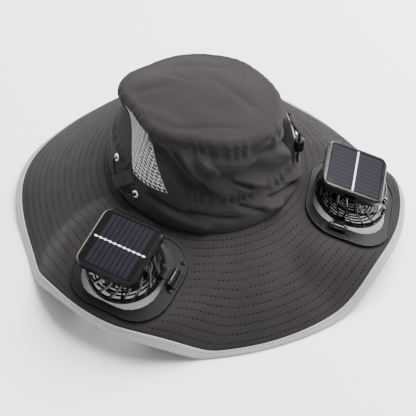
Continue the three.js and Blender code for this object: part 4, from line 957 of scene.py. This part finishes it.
def cage_parts(hinge):
    """Closed bodies of one cage in its fan's frame: foot, lid, motor, shaft, guard, ribs, arm."""
    top = CAGE_BASE + CAGE_HEIGHT
    motor_low = top - CAGE_LID - MOTOR_HEIGHT
    parts = [
        rounded_band(CAGE_RADIUS, CAGE_RADIUS - CAGE_RING, CAGE_BASE, CAGE_BASE + 2.0),
        rounded_band(CAGE_RADIUS - 0.9, CAGE_RADIUS - CAGE_RING, CAGE_BASE + 2.0, CAGE_BASE + 3.5),
        rounded_band(CAGE_TOP_RADIUS, 0.02, top - CAGE_LID, top, 0.7),
        rounded_band(MOTOR_RADIUS, 0.02, motor_low, top - CAGE_LID + 0.1),
        rounded_band(SHAFT_RADIUS, 0.02, motor_low - SHAFT_LENGTH, motor_low + 0.1, 0.3),
        rounded_band(MOTOR_RADIUS, 0.02, CAGE_BASE, CAGE_BASE + 1.6),
    ]
    for radius in GUARD_RINGS:
        parts.append(rounded_band(radius, radius - 1.2, CAGE_BASE + 0.2, CAGE_BASE + 1.5, 0.3))
    t = np.linspace(0, 1, 9)
    shell = CAGE_TOP_RADIUS + (CAGE_RADIUS - CAGE_TOP_RADIUS) * np.cos(t * math.pi / 2) - 0.3
    rise = CAGE_BASE + 2.5 + (CAGE_HEIGHT - 4) * t
    for k in range(CAGE_RIBS):
        angle = 2 * math.pi * k / CAGE_RIBS + hinge * math.radians(CAGE_SWIRL) * t
        corners = []
        for depth, aside in ((0, -RIB_HALF), (0, RIB_HALF), (RIB_DEPTH, RIB_HALF), (RIB_DEPTH, -RIB_HALF)):
            a = angle + aside / shell
            corners.append(np.stack([(shell - depth) * np.cos(a), (shell - depth) * np.sin(a), rise], -1))
        parts.append(swept(np.stack(corners, 1)))
    radius, level = np.interp(HOOP_SHARE, t, shell), np.interp(HOOP_SHARE, t, rise)
    parts.append(rounded_band(radius - 0.2, radius - 2.0, level - 0.8, level + 0.8, 0.3))
    for k in range(GUARD_SPOKES):
        angle = 2 * math.pi * k / GUARD_SPOKES + 0.4
        points, faces = block(MOTOR_RADIUS - 1, CAGE_RADIUS - 1, -0.7, 0.7, CAGE_BASE, CAGE_BASE + 1.5)
        c, s = math.cos(angle), math.sin(angle)
        parts.append((points @ np.array([[c, s, 0], [-s, c, 0], [0, 0, 1]]), faces))
    y = sorted((hinge * (CAGE_RADIUS - CAGE_RING), hinge * HINGE_OFFSET))
    x0, x1 = HINGE_ALONG - KNUCKLE_LENGTH / 2, HINGE_ALONG + KNUCKLE_LENGTH / 2
    parts.append(block(x0, x1, y[0], y[1], HINGE_HEIGHT - 2, HINGE_HEIGHT + 1.5))
    low = sorted((hinge * (CAGE_RADIUS - CAGE_RING), hinge * (CAGE_RADIUS + 1)))
    parts.append(block(x0, x1, low[0], low[1], CAGE_BASE + 0.5, HINGE_HEIGHT + 1.5))
    points, faces = rounded_band(HINGE_BARREL, 1.5, x0, x1, 0.2)
    parts.append((points[:, [2, 0, 1]] + (0, hinge * HINGE_OFFSET, HINGE_HEIGHT), faces))
    return parts


def into_hat(fan, points):
    """Points of a fan's own frame in the hat's frame."""
    return fan["origin"] + points @ np.stack([fan["x"], fan["y"], fan["z"]])


def hard_piece(name, fan, parts, material, slot, body, *nodes):
    """Joins closed bodies given in a fan's frame into one piece with softened edges."""
    points, faces, count = [], [], 0
    for corners, sides in parts:
        points.append(corners)
        faces += [[corner + count for corner in side] for side in sides]
        count += len(corners)
    mesh = bpy.data.meshes.new(name)
    mesh.from_pydata((into_hat(fan, np.concatenate(points)) * MM).tolist(), [], faces)
    shell = bmesh.new()
    shell.from_mesh(mesh)
    bmesh.ops.recalc_face_normals(shell, faces=shell.faces)
    shell.to_mesh(mesh)
    shell.free()
    mesh.materials.append(material)
    mesh.shade_smooth()
    mesh.set_sharp_from_angle(angle=math.radians(35))
    piece = new_object(name, mesh)
    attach(piece, body)
    if nodes:
        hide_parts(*nodes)
    return piece


for name, fan in fans.items():
    hard_piece(f"cage_{name}", fan, cage_parts(fan["hinge"]), cage_plastic, "gloss_plastic",
               f"fan_{name}", f"fan_cage_{name}")

# Solar cells: a blue-black silicon plate in strips with thin silver fingers between them and
# one wide bus line across the middle, under clear resin. Places are in each fan's frame.
CELL_HALF = 0.0248
CELL_GAP, CELL_DASH = 0.41, 0.26
FINGER_PITCH, FINGER_HALF = 0.0013, 0.09
CELLS = {
    "left": {"strips": 9, "span": 0.043, "bus": 0.00025, "dash": 0.0006, "gap": (0.001, 0.001, 0.001, 1)},
    "right": {"strips": 10, "span": 0.049, "bus": 0.0008, "dash": 0, "gap": (0.003, 0.003, 0.004, 1)},
}


def cell_material(name, fan, centre_x, centre_y, layout):
    """A printed cell: masks for its gaps, fingers, rim and bus from places in the fan's frame."""
    material = bpy.data.materials.new(name)
    material.use_nodes = True
    nodes, links = material.node_tree.nodes, material.node_tree.links
    shader = nodes["Principled BSDF"]
    shader.inputs["Specular IOR Level"].default_value = 0.05
    shader.inputs["Coat Weight"].default_value = 0.05
    shader.inputs["Coat Roughness"].default_value = 0.05
    place = nodes.new("ShaderNodeTexCoord")
    turn = nodes.new("ShaderNodeMapping")
    turn.vector_type = "TEXTURE"
    origin = fan["origin"] + centre_x * fan["x"] + centre_y * fan["y"]
    turn.inputs["Location"].default_value = tuple(origin * MM)
    basis = Matrix((fan["x"], fan["y"], fan["z"])).transposed()
    turn.inputs["Rotation"].default_value = tuple(basis.to_euler())
    links.new(place.outputs["Object"], turn.inputs["Vector"])
    split = nodes.new("ShaderNodeSeparateXYZ")
    links.new(turn.outputs[0], split.inputs[0])
    x, y = split.outputs[0], split.outputs[1]

    def calc(operation, *values):
        return math_node(nodes, links, operation, *values)

    across = calc("DIVIDE", y, layout["span"] / layout["strips"])
    strip = calc("FRACT", calc("ADD", across, layout["strips"] / 2 + 100))
    share = calc("ABSOLUTE", calc("SUBTRACT", strip, 0.5))
    gap = calc("GREATER_THAN", share, CELL_GAP)
    dash = calc("LESS_THAN", share, CELL_DASH)
    bus = calc("LESS_THAN", calc("ABSOLUTE", x), calc("MULTIPLY_ADD", dash, layout["dash"], layout["bus"]))
    line = calc("SUBTRACT", calc("FRACT", calc("DIVIDE", x, FINGER_PITCH)), 0.5)
    finger = calc("LESS_THAN", calc("ABSOLUTE", line), FINGER_HALF)
    aside = calc("GREATER_THAN", calc("ABSOLUTE", y), layout["span"] / 2)
    past = calc("GREATER_THAN", calc("ABSOLUTE", x), CELL_HALF)
    rim = calc("MAXIMUM", aside, past)
    grit = noise_node(nodes, links, turn.outputs[0], 240, 2)

    def layered(below, above, mask):
        mix = nodes.new("ShaderNodeMix")
        mix.data_type = "RGBA"
        if isinstance(below, tuple):
            mix.inputs["A"].default_value = below
        else:
            links.new(below, mix.inputs["A"])
        mix.inputs["B"].default_value = above
        links.new(mask, mix.inputs["Factor"])
        return mix.outputs["Result"]

    colour = layered((0.006, 0.006, 0.010, 1), (0.011, 0.011, 0.017, 1), grit)
    colour = layered(colour, (0.019, 0.018, 0.024, 1), calc("MULTIPLY", finger, 0.6))
    colour = layered(colour, layout["gap"], gap)
    colour = layered(colour, (0.003, 0.003, 0.003, 1), rim)
    colour = layered(colour, (0.62, 0.62, 0.60, 1), bus)
    links.new(colour, shader.inputs["Base Color"])
    links.new(spread_node(nodes, links, grit, 0.28, 0.42), shader.inputs["Roughness"])
    return material


for name, fan in fans.items():
    low, high = (np.array(corner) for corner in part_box(f"solar_cell_{name}"))
    x, y, _ = in_fan(fan, (low + high) / 2 / MM)
    finish_node(f"solar_cell_{name}", cell_material(f"cell_{name}", fan, x, y, CELLS[name]))

# Cords and tabs: black braided cord held between its eyelets and at the lock, and dark woven
# tabs sewn over it. They keep the form that they have in the frame.
braid = moulded_material("braided_cord", (0.004, 0.004, 0.004), 0.75, 0.0004, specular=0.2)
tab_tape = moulded_material("tab_tape", (0.024, 0.0215, 0.021), 0.85, 0.0003, specular=0.1)
for name in ("draw_cord_left", "draw_cord_right", "draw_cord_end"):
    finish_node(name, braid)
for name in ("strap_loop_left", "strap_loop_right"):
    finish_node(name, tab_tape)
